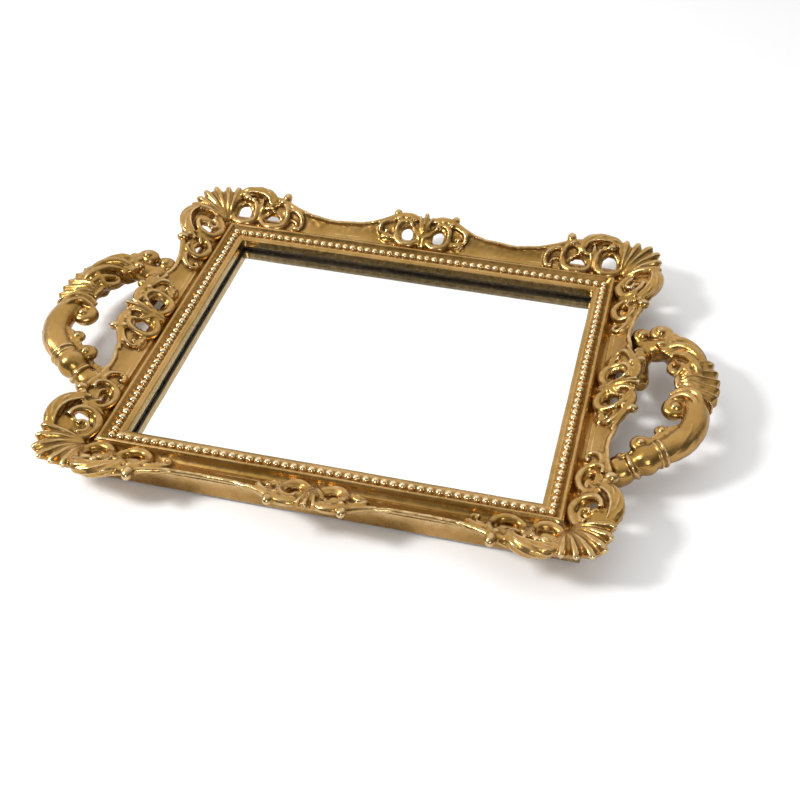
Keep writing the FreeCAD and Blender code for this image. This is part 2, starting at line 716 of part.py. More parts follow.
os.makedirs("parts", exist_ok=True)
for name in NODES:
    shape = doc.getObject(name).Shape
    if shape.isNull() or not shape.isValid():
        raise RuntimeError(f"{name} has no valid shape")
    shape.exportStep(os.path.join("parts", name + ".step"))
    box = shape.BoundBox
    print(f"{name}: {len(shape.Solids)} solids, {shape.Volume:.0f} mm3, "
          f"{box.XLength:.1f} x {box.YLength:.1f} x {box.ZLength:.1f}, z {box.ZMin:.2f} to {box.ZMax:.2f}")
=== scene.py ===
"""Dresser vanity tray in Blender: a gilded casting round a mirror, with two scrolled handles.

Sizes in the modelling functions are millimetres. Each finished piece is scaled to metres and
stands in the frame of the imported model, with its origin on the table under the tray.
"""

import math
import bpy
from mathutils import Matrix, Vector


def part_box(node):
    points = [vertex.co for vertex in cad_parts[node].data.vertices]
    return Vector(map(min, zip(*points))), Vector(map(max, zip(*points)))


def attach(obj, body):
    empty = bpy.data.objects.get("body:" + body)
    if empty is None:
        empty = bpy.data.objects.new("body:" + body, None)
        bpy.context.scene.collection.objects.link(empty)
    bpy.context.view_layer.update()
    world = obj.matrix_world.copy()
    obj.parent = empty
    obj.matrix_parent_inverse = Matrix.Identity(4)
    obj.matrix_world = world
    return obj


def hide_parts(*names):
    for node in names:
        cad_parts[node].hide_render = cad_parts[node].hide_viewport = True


bl_info = {
    "name": "Dresser vanity tray",
    "version": (1, 0, 0),
    "blender": (4, 5, 0),
    "location": "3D View > Sidebar > Vanity tray",
    "description": "Builds a gilded mirror tray with carved corners and scrolled handles",
    "category": "Object",
}

import bmesh
import bpy
import numpy as np
from mathutils import Matrix, Vector, noise

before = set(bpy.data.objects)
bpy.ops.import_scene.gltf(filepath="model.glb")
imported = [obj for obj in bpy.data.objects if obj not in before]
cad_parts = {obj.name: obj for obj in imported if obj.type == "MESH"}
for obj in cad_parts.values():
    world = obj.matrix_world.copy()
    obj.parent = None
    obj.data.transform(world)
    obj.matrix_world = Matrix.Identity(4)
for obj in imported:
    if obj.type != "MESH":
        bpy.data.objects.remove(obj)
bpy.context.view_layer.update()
MM = 0.001
DOWEL_IN_FRAME = 12.0
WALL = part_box("dowel_right_front")[0].x / MM + DOWEL_IN_FRAME  # outer face of the frame's wall
GLASS_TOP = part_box("mirror_glass")[1].z / MM
FRAME_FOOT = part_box("base_felt")[1].z / MM
BEAD_INSET, BEAD_LEVEL = 4.9, 14.75  # ridge to the line of beads, and their height
REBATE_INSET, REBATE_TOP = 5.3, 9.3  # inset and top of the dark band at the foot of the opening's wall, which is painted shade
SHELL_ROOT = 3.6  # ridge to the point that the corner shell fans from
SHELL_LOBES, SHELL_START, SHELL_STOP = 6, -7, 97  # pleats, and the angles they span


class TrayShape(bpy.types.PropertyGroup):
    """Sizes of the casting."""

    ridge_x: bpy.props.FloatProperty(
        name="Ridge half length", description="Middle of the tray to the ridge along X, mm",
        default=120.8, min=60.0, max=240.0)
    ridge_y: bpy.props.FloatProperty(
        name="Ridge half depth", description="Middle of the tray to the ridge along Y, mm",
        default=94.0, min=50.0, max=200.0)
    bead_radius: bpy.props.FloatProperty(
        name="Bead radius", description="Radius of a bead in the groove, mm",
        default=2.2, min=1.0, max=3.0)
    beads_long: bpy.props.IntProperty(
        name="Beads, long side", description="Spaces between beads along a long side",
        default=49, min=10, max=100)
    beads_short: bpy.props.IntProperty(
        name="Beads, short side", description="Spaces between beads along a short side",
        default=41, min=10, max=100)
    grain: bpy.props.FloatProperty(
        name="Skin grain", description="Grid on which the carved pieces are fused, mm",
        default=0.5, min=0.3, max=1.5)


class TrayFinish(bpy.types.PropertyGroup):
    """Colours of the finishes, and of the painted shade and highlight on the gold."""

    gold: bpy.props.FloatVectorProperty(
        name="Gold", description="Gold leaf paint on open surfaces",
        subtype="COLOR", size=3, default=(0.335, 0.188, 0.045))
    # Light gold for edges and high spots: rubbed wear, and also a painted highlight.
    bright: bpy.props.FloatVectorProperty(
        name="Rubbed gold", description="Gold on edges and high spots",
        subtype="COLOR", size=3, default=(0.90, 0.70, 0.41))
    # Dark brown for the hollows: the patina wash, and also painted shade.
    patina_and_shade: bpy.props.FloatVectorProperty(
        name="Patina", description="Brown wash left in the recesses",
        subtype="COLOR", size=3, default=(0.074, 0.032, 0.004))
    felt: bpy.props.FloatVectorProperty(
        name="Felt", description="Felt under the tray",
        subtype="COLOR", size=3, default=(0.012, 0.012, 0.014))


def shape():
    """The sizes that the panel shows."""
    return bpy.context.scene.vanity_tray_shape


def finish():
    """The colours that the panel shows."""
    return bpy.context.scene.vanity_tray_finish


# --- shader arithmetic ------------------------------------------------------------------------
class Tone:
    """A shader socket that takes part in Python arithmetic."""

    def __init__(self, paint, socket):
        self.paint, self.socket = paint, socket

    def math(self, operation, first, second):
        node = self.paint.node("ShaderNodeMath", {"operation": operation}, {0: first, 1: second})
        return Tone(self.paint, node.outputs[0])

    def __add__(self, other):
        return self.math("ADD", self, other)

    __radd__ = __add__

    def __mul__(self, other):
        return self.math("MULTIPLY", self, other)

    __rmul__ = __mul__

    def __sub__(self, other):
        return self.math("SUBTRACT", self, other)

    def __rsub__(self, other):
        return self.math("SUBTRACT", other, self)

    def clamped(self):
        node = self.paint.node("ShaderNodeClamp", {}, {"Value": self})
        return Tone(self.paint, node.outputs[0])


class Nodes:
    """An emptied node tree, with one method that adds any node."""

    def __init__(self, tree):
        self.tree = tree
        tree.nodes.clear()

    def node(self, kind, settings, inputs):
        node = self.tree.nodes.new(kind)
        for key, value in settings.items():
            setattr(node, key, value)
        for key, value in inputs.items():
            if isinstance(value, Tone):
                value = value.socket
            if isinstance(value, bpy.types.NodeSocket):
                self.tree.links.new(value, node.inputs[key])
            else:
                node.inputs[key].default_value = value
        return node


class Paint(Nodes):
    """A material and the patterns that its finishes are mixed from."""

    def __init__(self, name):
        self.material = bpy.data.materials.new(name)
        self.material.use_nodes = True
        super().__init__(self.material.node_tree)
        self.place = self.node("ShaderNodeTexCoord", {}, {}).outputs["Object"]

    def noise(self, scale, detail=4.0, roughness=0.55):
        node = self.node("ShaderNodeTexNoise", {}, {
            "Vector": self.place, "Scale": scale, "Detail": detail, "Roughness": roughness})
        return Tone(self, node.outputs[0])

    def attribute(self, name):
        node = self.node("ShaderNodeAttribute", {"attribute_name": name}, {})
        return Tone(self, node.outputs["Fac"])

    def span(self, value, low, high):
        """value taken smoothly from low..high to 0..1."""
        node = self.node("ShaderNodeMapRange", {"interpolation_type": "SMOOTHSTEP"}, {
            "Value": value, "From Min": low, "From Max": high})
        return Tone(self, node.outputs[0])

    def mix(self, factor, first, second):
        node = self.node("ShaderNodeMix", {"data_type": "RGBA"}, {
            0: factor, 6: opaque(first), 7: opaque(second)})
        return node.outputs[2]

    def bump(self, height, strength, distance):
        node = self.node("ShaderNodeBump", {}, {
            "Height": height, "Strength": strength, "Distance": distance})
        return node.outputs[0]

    def surface(self, **sockets):
        names = {key.replace("_", " "): value for key, value in sockets.items()}
        shader = self.node("ShaderNodeBsdfPrincipled", {}, names)
        self.node("ShaderNodeOutputMaterial", {}, {"Surface": shader.outputs[0]})
        return self.material


def opaque(colour):
    """A colour with its alpha, or a link as it is."""
    if isinstance(colour, (bpy.types.NodeSocket, Tone)):
        return colour
    return (*colour[:3], 1.0)


def gilding():
    """Antique gold: leaf paint over brown, with a brown wash in the hollows that also paints their
    shade, and lighter edges that are rubbed wear and also painted highlight.
    """
    if "antique_gold" in bpy.data.materials:
        return bpy.data.materials["antique_gold"]
    colours = finish()
    paint = Paint("antique_gold")
    recess, edge = paint.attribute("recess"), paint.attribute("edge")
    cloud = paint.noise(38.0, 3.0)
    mottle = paint.noise(240.0, 4.0, 0.6)
    speck = paint.noise(1500.0, 3.0, 0.65)
    # Darkens the hollows: partly the real brown wash of antique gold, partly painted shade.
    wash_and_shade = paint.span(recess + (mottle - 0.5) * 0.45 + (cloud - 0.5) * 0.2, 0.14, 0.86)
    # Lightens edges and high spots: partly rubbed wear, partly painted highlight.
    rub_and_highlight = paint.span(edge + (mottle - 0.5) * 0.4, 0.12, 0.8)
    warm = paint.mix(paint.span(cloud, 0.38, 0.66), colours.gold, (0.44, 0.255, 0.080))
    flecked = paint.mix(paint.span(speck, 0.56, 0.74) * 0.30, warm, (0.25, 0.130, 0.028))
    bright = paint.mix(rub_and_highlight * 0.72, flecked, colours.bright)
    # The hollows take the dark brown: patina and painted shade.
    colour = paint.mix(wash_and_shade * 0.93, bright, colours.patina_and_shade)
    rough = (0.29 + (mottle - 0.5) * 0.22 + wash_and_shade * 0.3 - rub_and_highlight * 0.08).clamped()
    metal = (0.96 - wash_and_shade * 0.55).clamped()
    relief = (paint.noise(520.0, 3.0, 0.6) * 0.7 + speck * 0.3
              + paint.noise(200.0, 2.0, 0.5) * 1.5)
    return paint.surface(
        Base_Color=colour, Roughness=rough, Metallic=metal,
        Normal=paint.bump(relief, 0.32, 0.00022))


def shaded_rebate_band():
    """Painted shade: the dark brown band at the foot of the opening's wall."""
    paint = Paint("shaded_rebate_band")
    grain = paint.noise(500.0, 3.0)
    tint = paint.mix(paint.span(grain, 0.4, 0.7), (0.050, 0.030, 0.010), (0.105, 0.066, 0.026))
    return paint.surface(Base_Color=tint, Roughness=0.6, Normal=paint.bump(grain, 0.2, 0.0002))


def plain_metal(name, colour, roughness, scale):
    """Zinc-plated or plain steel with a fine grain."""
    paint = Paint(name)
    grain = paint.noise(scale, 3.0)
    tint = paint.mix(paint.span(grain, 0.35, 0.65), colour, [c * 0.78 for c in colour])
    return paint.surface(
        Base_Color=tint, Metallic=1.0, Roughness=(roughness + (grain - 0.5) * 0.2).clamped(),
        Normal=paint.bump(grain, 0.15, 0.0001))


def cast_glass():
    """Clear plate with the faint green of float glass."""
    paint = Paint("clear_plate")
    smear = paint.noise(14.0, 2.0)
    return paint.surface(
        Base_Color=(0.955, 0.985, 0.97, 1.0), Transmission_Weight=1.0, IOR=1.5,
        Roughness=paint.span(smear, 0.45, 0.8) * 0.012)


def silver():
    """Silvering seen through the plate."""
    paint = Paint("silver_layer")
    haze = paint.noise(22.0, 3.0)
    tint = paint.mix(paint.span(haze, 0.4, 0.7), (0.97, 0.97, 0.965), (0.94, 0.945, 0.94))
    return paint.surface(Base_Color=tint, Metallic=1.0, Roughness=0.02)


def fibre(name, colour, scale):
    """Needled felt or foam, matt and slightly fuzzy."""
    paint = Paint(name)
    hair = paint.noise(scale, 6.0, 0.75)
    clump = paint.noise(scale * 0.12, 3.0)
    light = [min(1.0, c * 2.4 + 0.01) for c in colour]
    tint = paint.mix(paint.span(hair + (clump - 0.5) * 0.5, 0.35, 0.75), colour, light)
    return paint.surface(
        Base_Color=tint, Roughness=0.96, Sheen_Weight=0.35,
        Normal=paint.bump(hair, 0.6, 0.0004))


def hardboard():
    """Pressed brown fibreboard."""
    paint = Paint("brown_hardboard")
    chip = paint.noise(700.0, 6.0, 0.7)
    patch = paint.noise(60.0, 3.0)
    tint = paint.mix(paint.span(chip * 0.7 + patch * 0.3, 0.35, 0.65),
                     (0.10, 0.05, 0.022), (0.235, 0.13, 0.06))
    return paint.surface(
        Base_Color=tint, Roughness=0.78, Normal=paint.bump(chip, 0.35, 0.0003))


def soft_room():
    """Light that is strongest above and behind the tray, in front of a plain white background."""
    room = bpy.data.worlds.new("soft_room")
    room.use_nodes = True
    nodes = Nodes(room.node_tree)
    facing = nodes.node("ShaderNodeTexCoord", {}, {}).outputs["Generated"]
    lean = nodes.node("ShaderNodeVectorMath", {"operation": "DOT_PRODUCT"}, {
        0: facing, 1: (-0.20, 0.74, 0.64)})
    rise = nodes.node("ShaderNodeMapRange", {"interpolation_type": "SMOOTHSTEP"}, {
        "Value": lean.outputs["Value"], "From Min": 0.0, "From Max": 0.95,
        "To Min": 0.14, "To Max": 1.24})
    seen = nodes.node("ShaderNodeLightPath", {}, {}).outputs["Is Camera Ray"]
    level = nodes.node("ShaderNodeMix", {}, {0: seen, 2: rise.outputs[0], 3: 1.0})
    back = nodes.node("ShaderNodeBackground", {}, {
        "Color": (1.0, 1.0, 1.0, 1.0), "Strength": level.outputs[0]})
    nodes.node("ShaderNodeOutputWorld", {}, {"Surface": back.outputs[0]})
    return room


# --- building blocks --------------------------------------------------------------------------
def eased(stops, value):
    """A smooth curve through (position, height) stops."""
    for (x0, y0), (x1, y1) in zip(stops, stops[1:]):
        if value <= x1:
            t = min(max((value - x0) / (x1 - x0), 0.0), 1.0)
            return y0 + (y1 - y0) * t * t * (3 - 2 * t)
    return stops[-1][1]


def along_points(points, share):
    """The point at a share of a smooth line through points."""
    span = min(max(share, 0.0), 0.9999) * (len(points) - 1)
    k, t = int(span), span % 1.0
    a, b, c, d = (points[min(max(k + step, 0), len(points) - 1)] for step in (-1, 0, 1, 2))
    return 0.5 * (2 * b + (c - a) * t + (2 * a - 5 * b + 4 * c - d) * t * t
                  + (3 * b - a - 3 * c + d) * t ** 3)


class Casting:
    """Closed forms that overlap and are then fused into one skin, as if cast in one mould."""

    def __init__(self, name):
        self.name = name
        self.body = bmesh.new()
        self.strands = []

    def ball(self, centre, radius, stretch=(1.0, 1.0, 1.0), turn=0.0):
        """A round bead of material, stretched and turned about Z."""
        place = (Matrix.Translation(centre) @ Matrix.Rotation(math.radians(turn), 4, "Z")
                 @ Matrix.Diagonal((*stretch, 1.0)))
        bmesh.ops.create_uvsphere(
            self.body, u_segments=16, v_segments=10, radius=radius, matrix=place)

    def strand(self, points):
        """A tapering round strand through (x, y, z, radius) points."""
        self.strands.append(points)

    def ring(self, centre, radius, thick, axis):
        """A collar: a ring of round section, with its hole along axis."""
        turn = Vector(axis).to_track_quat("Z", "Y").to_matrix()
        self.strand([
            (*(Vector(centre) + turn @ Vector((radius * math.cos(a), radius * math.sin(a), 0))),
             thick)
            for a in (math.tau * k / 10 for k in range(11))])

    def wound(self, middle, count, turns, thick, sink=0.7):
        """Ribs wound round a bar whose middle runs through (x, y, z, radius) points."""
        places = [Vector(point[:3]) for point in middle]
        last = len(places) - 1
        for rib in range(count):
            points = []
            for k, place in enumerate(places):
                along = places[min(k + 1, last)] - places[max(k - 1, 0)]
                out = along.cross(Vector((0, 0, 1))).normalized()
                up = out.cross(along).normalized()
                angle = math.tau * (rib / count + turns * k / last)
                reach = middle[k][3] - sink
                points.append((*(place + reach * (out * math.cos(angle) + up * math.sin(angle))),
                               thick * (0.55 if k in (0, last) else 1.0)))
            self.strand(points)

    def sheet(self, across, along, form, depth, holes=()):
        """A plate on a grid whose points form(u, v) gives, thickened by the vector depth."""
        grid = bmesh.new()
        bmesh.ops.create_grid(grid, x_segments=across, y_segments=along, size=1.0)
        for vert in grid.verts:
            vert.co = form((vert.co.x + 1) / 2, vert.co.y)
        for x, y, wide, deep, turn in holes:
            cos, sin = math.cos(math.radians(turn)), math.sin(math.radians(turn))
            gone = []
            for face in grid.faces:
                away = face.calc_center_median() - Vector((x, y, 0))
                p = (away.x * cos + away.y * sin) / wide
                q = (away.y * cos - away.x * sin) / deep
                if p * p + q * q < 1.0:
                    gone.append(face)
            bmesh.ops.delete(grid, geom=gone, context="FACES")
        made = bmesh.ops.extrude_face_region(grid, geom=grid.faces[:], use_keep_orig=True)
        moved = [g for g in made["geom"] if isinstance(g, bmesh.types.BMVert)]
        bmesh.ops.translate(grid, verts=moved, vec=depth)
        bmesh.ops.recalc_face_normals(grid, faces=grid.faces[:])
        part = bpy.data.meshes.new("part")
        grid.to_mesh(part)
        grid.free()
        self.body.from_mesh(part)
        bpy.data.meshes.remove(part)

    def leaf(self, root, bend, tip, width, lobes, crown, depth, side=None):
        """A veined leaf along a bent spine, with lobed edges."""
        a, b, c = Vector(root), Vector(bend), Vector(tip)

        def form(u, v):
            spine = a * (1 - u) ** 2 + b * 2 * u * (1 - u) + c * u * u
            along = (b - a) * (1 - u) + (c - b) * u
            out = Vector(side) if side else along.cross(Vector((0, 0, 1)))
            out = out.normalized() if out.length > 1e-6 else Vector((1, 0, 0))
            up = out.cross(along).normalized()
            if up.z < 0:
                up = -up
            swell = math.sin(math.pi * min(1.0, 0.12 + 0.88 * u) ** 0.85) ** 0.7
            notch = 0.80 + 0.20 * abs(math.sin(math.pi * lobes * u))
            reach = width * max(swell, 0.05) * (notch if abs(v) > 0.6 else 1.0)
            vein = math.cos(math.tau * (lobes * u - abs(v) * 0.8))
            lift = crown * (1 - v * v) + 0.42 * vein * abs(v) - 0.7 * math.exp(-(v * 7) ** 2)
            return spine + out * (v * reach) + up * lift

        self.sheet(28, 22, form, Vector((0, 0, -depth)))

    def fan(self, root, start, stop, reach, lobes, rise, depth, ripple, notch):
        """A fluted shell fanned about root. reach(angle) is its radius, and rise(u) its height."""
        def form(u, v):
            share = (v + 1) / 2
            angle = math.radians(start + (stop - start) * share)
            lobe = 1 - abs(2 * (lobes * share % 1.0) - 1) ** 1.6
            vein = math.cos(math.tau * lobes * 3 * share)
            along = 1.5 + (reach(angle) * (1 - notch * (1 - lobe)) - 1.5) * u
            lift = rise(u) + ripple * (lobe - 0.55) * min(1.0, 2.2 * u) + 0.34 * vein * u
            lift += 0.8 * lobe * math.exp(-((u - 0.88) * 8) ** 2)
            return Vector((root[0] + math.cos(angle) * along,
                           root[1] + math.sin(angle) * along, root[2] + lift))

        self.sheet(30, lobes * 18, form, Vector((0, 0, -depth)))

    def fused(self, grain, cuts=()):
        """The one skin of everything cast so far, as a bmesh in millimetres. Each cut is a point
        and a normal, and what lies behind it is taken away."""
        curve = bpy.data.curves.new(self.name + "_strands", "CURVE")
        curve.dimensions, curve.bevel_depth, curve.bevel_resolution = "3D", 1.0, 10
        curve.resolution_u, curve.use_fill_caps = 10, True
        for points in self.strands:
            spline = curve.splines.new("BEZIER")
            spline.bezier_points.add(len(points) - 1)
            spline.radius_interpolation = "CARDINAL"
            for knot, (x, y, z, radius) in zip(spline.bezier_points, points):
                knot.co, knot.radius = (x, y, z), radius
                knot.handle_left_type = knot.handle_right_type = "AUTO"
        holder = bpy.data.objects.new(self.name + "_strands", curve)
        bpy.context.scene.collection.objects.link(holder)
        graph = bpy.context.evaluated_depsgraph_get()
        strands = bpy.data.meshes.new_from_object(holder.evaluated_get(graph))
        bpy.data.objects.remove(holder)
        self.body.from_mesh(strands)
        loose = bpy.data.meshes.new(self.name + "_loose")
        self.body.to_mesh(loose)
        self.body.free()
        blank = bpy.data.objects.new(self.name + "_blank", loose)
        bpy.context.scene.collection.objects.link(blank)
        fuse = blank.modifiers.new("fuse", "REMESH")
        fuse.mode, fuse.voxel_size = "VOXEL", grain
        graph = bpy.context.evaluated_depsgraph_get()
        skin = bpy.data.meshes.new_from_object(blank.evaluated_get(graph))
        bpy.data.objects.remove(blank)
        made = bmesh.new()
        made.from_mesh(skin)
        for _ in range(2):
            bmesh.ops.smooth_vert(made, verts=made.verts[:], factor=0.5,
                                  use_axis_x=True, use_axis_y=True, use_axis_z=True)
        for point, normal in cuts:
            cut = bmesh.ops.bisect_plane(
                made, geom=made.verts[:] + made.edges[:] + made.faces[:],
                plane_co=point, plane_no=normal, clear_inner=True, dist=1e-5)
            rim = [g for g in cut["geom_cut"] if isinstance(g, bmesh.types.BMEdge)]
            bmesh.ops.holes_fill(made, edges=rim, sides=0)
            for edge in rim:
                edge.smooth = False
        return made


def mark_wear_shade_and_highlight(mesh, strength=1.0, fine=3, broad=26):
    """Stores where the surface is hollow and where it stands proud, by how far it leaves a smoothed
    copy of itself. The gold darkens the hollows by it, as patina and as painted shade, and lightens
    the proud parts, as rubbed wear and as painted highlight."""
    count = len(mesh.vertices)
    flat = np.empty(count * 3)
    mesh.vertices.foreach_get("co", flat)
    place = flat.reshape(-1, 3) / MM
    normals = np.empty(count * 3)
    mesh.vertex_normals.foreach_get("vector", normals)
    normals = normals.reshape(-1, 3)
    ends = np.empty(len(mesh.edges) * 2, np.int64)
    mesh.edges.foreach_get("vertices", ends)
    first, second = ends[::2], ends[1::2]
    degree = np.maximum(np.bincount(first, minlength=count)
                        + np.bincount(second, minlength=count), 1)

    def spread(values):
        total = (np.bincount(first, values[second], count)
                 + np.bincount(second, values[first], count))
        return total / degree

    def smoothed(points, times):
        for _ in range(times):
            points = np.stack(
                [0.5 * points[:, k] + 0.5 * spread(points[:, k]) for k in range(3)], 1)
        return points

    near = smoothed(place, fine)
    far = smoothed(near, broad)
    small = np.einsum("ij,ij->i", near - place, normals)
    large = np.einsum("ij,ij->i", far - place, normals)
    # The broad term darkens wide hollows much as ambient occlusion would: painted shade.
    hollow = np.clip(small / 0.16, 0, 1) * 0.55 + np.clip(large / 0.75, 0, 1) * 0.75
    proud = np.clip(-small / 0.16, 0, 1) * 0.6 + np.clip(-large / 0.8, 0, 1) * 0.5
    for name, values in (("recess", hollow), ("edge", proud)):
        values = strength * np.clip(0.6 * values + 0.4 * spread(values), 0, 1)
        layer = mesh.attributes.new(name, "FLOAT", "POINT")
        layer.data.foreach_set("value", values.astype(np.float32))


def piece(name, made, material, slot, nodes, smooth=True, wear_and_shading=1.0):
    """Turns a bmesh in millimetres into a finished piece of the tray."""
    bmesh.ops.scale(made, verts=made.verts[:], vec=(MM, MM, MM))
    mesh = bpy.data.meshes.new(name)
    made.to_mesh(mesh)
    made.free()
    if smooth:
        mesh.polygons.foreach_set("use_smooth", [True] * len(mesh.polygons))
    # Hollows and proud parts are marked for wear, and for painted shade and highlight.
    if wear_and_shading:
        mark_wear_shade_and_highlight(mesh, wear_and_shading)
    mesh.materials.append(material)
    made_piece = bpy.data.objects.new(name, mesh)
    bpy.context.scene.collection.objects.link(made_piece)
    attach(made_piece, "root")
    if nodes:
        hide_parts(*nodes)
    return made_piece


def mirrored(made, flip_x, flip_y):
    """A copy of a bmesh reflected across the planes of the tray's middle."""
    copy = made.copy()
    bmesh.ops.scale(copy, verts=copy.verts[:],
                    vec=(-1.0 if flip_x else 1.0, -1.0 if flip_y else 1.0, 1.0))
    if flip_x != flip_y:
        bmesh.ops.reverse_faces(copy, faces=copy.faces[:])
    return copy


def hand_worked(made, amount, scale):
    """Moves the points a little, as the hand that carved the master left them."""
    for vert in made.verts:
        vert.co += noise.noise_vector(vert.co * scale) * amount


def bevelled(made, edges, offset, segments):
    """Rounds edges, or chamfers them with one segment."""
    bmesh.ops.bevel(made, geom=edges, offset=offset, segments=segments, affect="EDGES",
                    profile=0.5, material=-1)


def level_edges(made):
    """The edges that lie flat."""
    return [e for e in made.edges if abs(e.verts[0].co.z - e.verts[1].co.z) < 0.01]


def node_box(node, lift=0.0):
    """The corners of a CAD node in millimetres, with its bottom lifted."""
    low, high = (Vector(corner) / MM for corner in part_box(node))
    return low + Vector((0, 0, lift)), high


def slab(low, high):
    """A plate between two corners."""
    made = bmesh.new()
    bmesh.ops.create_cube(made, size=1.0)
    bmesh.ops.scale(made, verts=made.verts[:], vec=high - low)
    bmesh.ops.translate(made, verts=made.verts[:], vec=(high + low) / 2)
    return made


# --- moulding ---------------------------------------------------------------------------------
def arc(centre, radius, start, stop, steps):
    """Points of an arc in the section's plane, (out, up)."""
    return [(centre[0] + radius * math.cos(math.radians(start + (stop - start) * k / steps)),
             centre[1] + radius * math.sin(math.radians(start + (stop - start) * k / steps)))
            for k in range(steps + 1)]


def moulding_section():
    """The closed section of the moulding: distance out from the ridge, and height."""
    wall = WALL - shape().ridge_x
    return (
        [(-5.5, FRAME_FOOT), (-5.5, GLASS_TOP), (-10.5, GLASS_TOP), (-10.5, 9.2), (-10.55, 12.6)]
        + arc((-9.7, 13.3), 0.85, 180, 120, 3)
        + [(-8.9, 14.4), (-7.9, 14.9), (-7.3, 14.8), (-6.6, 14.3), (-4.7, 14.1), (-3.0, 14.4),
           (-2.2, 15.3)]
        + arc((-0.1, 16.5), 1.1, 165, 20, 6)
        + arc((6.2, 18.2), 5.1, 200, 262, 8)
        + [(5.9, 12.9), (6.2, 13.3), (6.4, 14.2), (7.6, 14.9), (9.6, 14.6)]
        + arc((wall - 1.0, 13.4), 1.0, 90, 0, 3)
        + [(wall, 8.0), (wall, 3.0)] + arc((wall - 0.8, FRAME_FOOT + 0.8), 0.8, 0, -90, 3)
    )


def moulding():
    """The mitred moulding, spun round the square and stretched to the tray's length."""
    sizes = shape()
    made = bmesh.new()
    section = [made.verts.new((sizes.ridge_y + out, sizes.ridge_y + out, up))
               for out, up in moulding_section()]
    rims = [made.edges.new((a, b)) for a, b in zip(section, section[1:] + section[:1])]
    bmesh.ops.spin(made, geom=section + rims, cent=(0, 0, 0), axis=(0, 0, 1),
                   angle=math.tau, steps=4, use_merge=True)
    bmesh.ops.remove_doubles(made, verts=made.verts[:], dist=0.001)
    shift = sizes.ridge_x - sizes.ridge_y
    for side in (-1, 1):
        bmesh.ops.translate(made, verts=[v for v in made.verts if v.co.x * side > 0],
                            vec=(side * shift, 0, 0))
    corners = [e for e in made.edges
               if min(abs(v.co.x) for v in e.verts) > WALL - 0.3
               and e.calc_length() < 30 and min(v.co.z for v in e.verts) < 13.6]
    bevelled(made, corners, 6.0, 6)
    long_runs = [e for e in made.edges if e.calc_length() > 100]
    bmesh.ops.subdivide_edges(made, edges=long_runs, cuts=70, use_grid_fill=True)
    bmesh.ops.recalc_face_normals(made, faces=made.faces[:])
    hand_worked(made, 0.16, 0.055)
    return made


def bead_row():
    """The row of beads in the groove, one low dome for each."""
    sizes = shape()
    x, y = sizes.ridge_x - BEAD_INSET, sizes.ridge_y - BEAD_INSET
    radius = sizes.bead_radius
    dome = bmesh.new()
    bmesh.ops.create_uvsphere(dome, u_segments=10, v_segments=7, radius=radius)
    low = [v for v in dome.verts if v.co.z < -radius * 0.75]
    bmesh.ops.delete(dome, geom=low, context="VERTS")
    bmesh.ops.holes_fill(dome, edges=dome.edges[:], sides=0)
    seed = bpy.data.meshes.new("bead")
    dome.to_mesh(seed)
    dome.free()
    made = bmesh.new()

    def drop(px, py):
        start = len(made.verts)
        made.from_mesh(seed)
        made.verts.ensure_lookup_table()
        new = made.verts[start:]
        jitter = noise.noise_vector(Vector((px, py, 3.0)) * 0.9)
        swell = 1.0 + 0.07 * jitter.z
        bmesh.ops.scale(made, verts=new, vec=(swell, swell, 1.05 * swell))
        bmesh.ops.translate(made, verts=new,
                            vec=(px + 0.2 * jitter.x, py + 0.2 * jitter.y, BEAD_LEVEL))

    for step in range(sizes.beads_long + 1):
        at = -x + 2 * x * step / sizes.beads_long
        drop(at, -y)
        drop(at, y)
    for step in range(1, sizes.beads_short):
        at = -y + 2 * y * step / sizes.beads_short
        drop(-x, at)
        drop(x, at)
    return made


# --- carved flange ----------------------------------------------------------------------------
LONG_EDGE = [(0, 24.2), (12, 23.8), (20, 22.0), (30, 17.6), (42, 15.2), (58, 14.4), (72, 15.6),
             (84, 19.0), (95, 24.0), (105, 27.0), (114, 27.6), (120.8, 25.5)]
SHORT_EDGE = [(0, 24.4), (12, 24.0), (20, 22.2), (30, 18.4), (42, 16.2), (50, 16.4), (60, 18.6),
              (68, 21.0), (77, 24.5), (85, 26.6), (90, 26.6), (94, 25.0)]


def dish(out):
    """Height of the flange's top at a distance out from the ridge."""
    if out < 15.0:
        return 14.3 + 5.9 * max(out - 6.0, 0.0) / 9.0 * (0.45 + 0.55 * max(out - 6.0, 0.0) / 9.0)
    return 20.2 + 4.2 * min(out - 15.0, 13.0) / 13.0 - 0.004 * (out - 15.0) ** 2


def on_long(along, out, above):
    """A point by the long side."""
    return Vector((along, shape().ridge_y + out, dish(out) + above))


def on_short(along, out, above):
    """A point by the short side."""
    return Vector((shape().ridge_x + out, along, dish(out) + above))


def run(casting, side, points):
    """A strand by a side through (along, out, above, radius) points."""
    casting.strand([(*side(a, b, h), r) for a, b, h, r in points])


def fluted(casting, side, points):
    """Carved flutes that wind a little round a hump by a side."""
    middle = [(*side(along, out, above), radius) for along, out, above, radius in points]
    casting.wound(middle, 8, 0.32, 0.75, 0.2)


def corner_reach(angle, reach, power):
    """Radius of a rounded square corner at an angle in radians."""
    return reach / max(math.cos(angle), math.sin(angle), 0.7) ** power


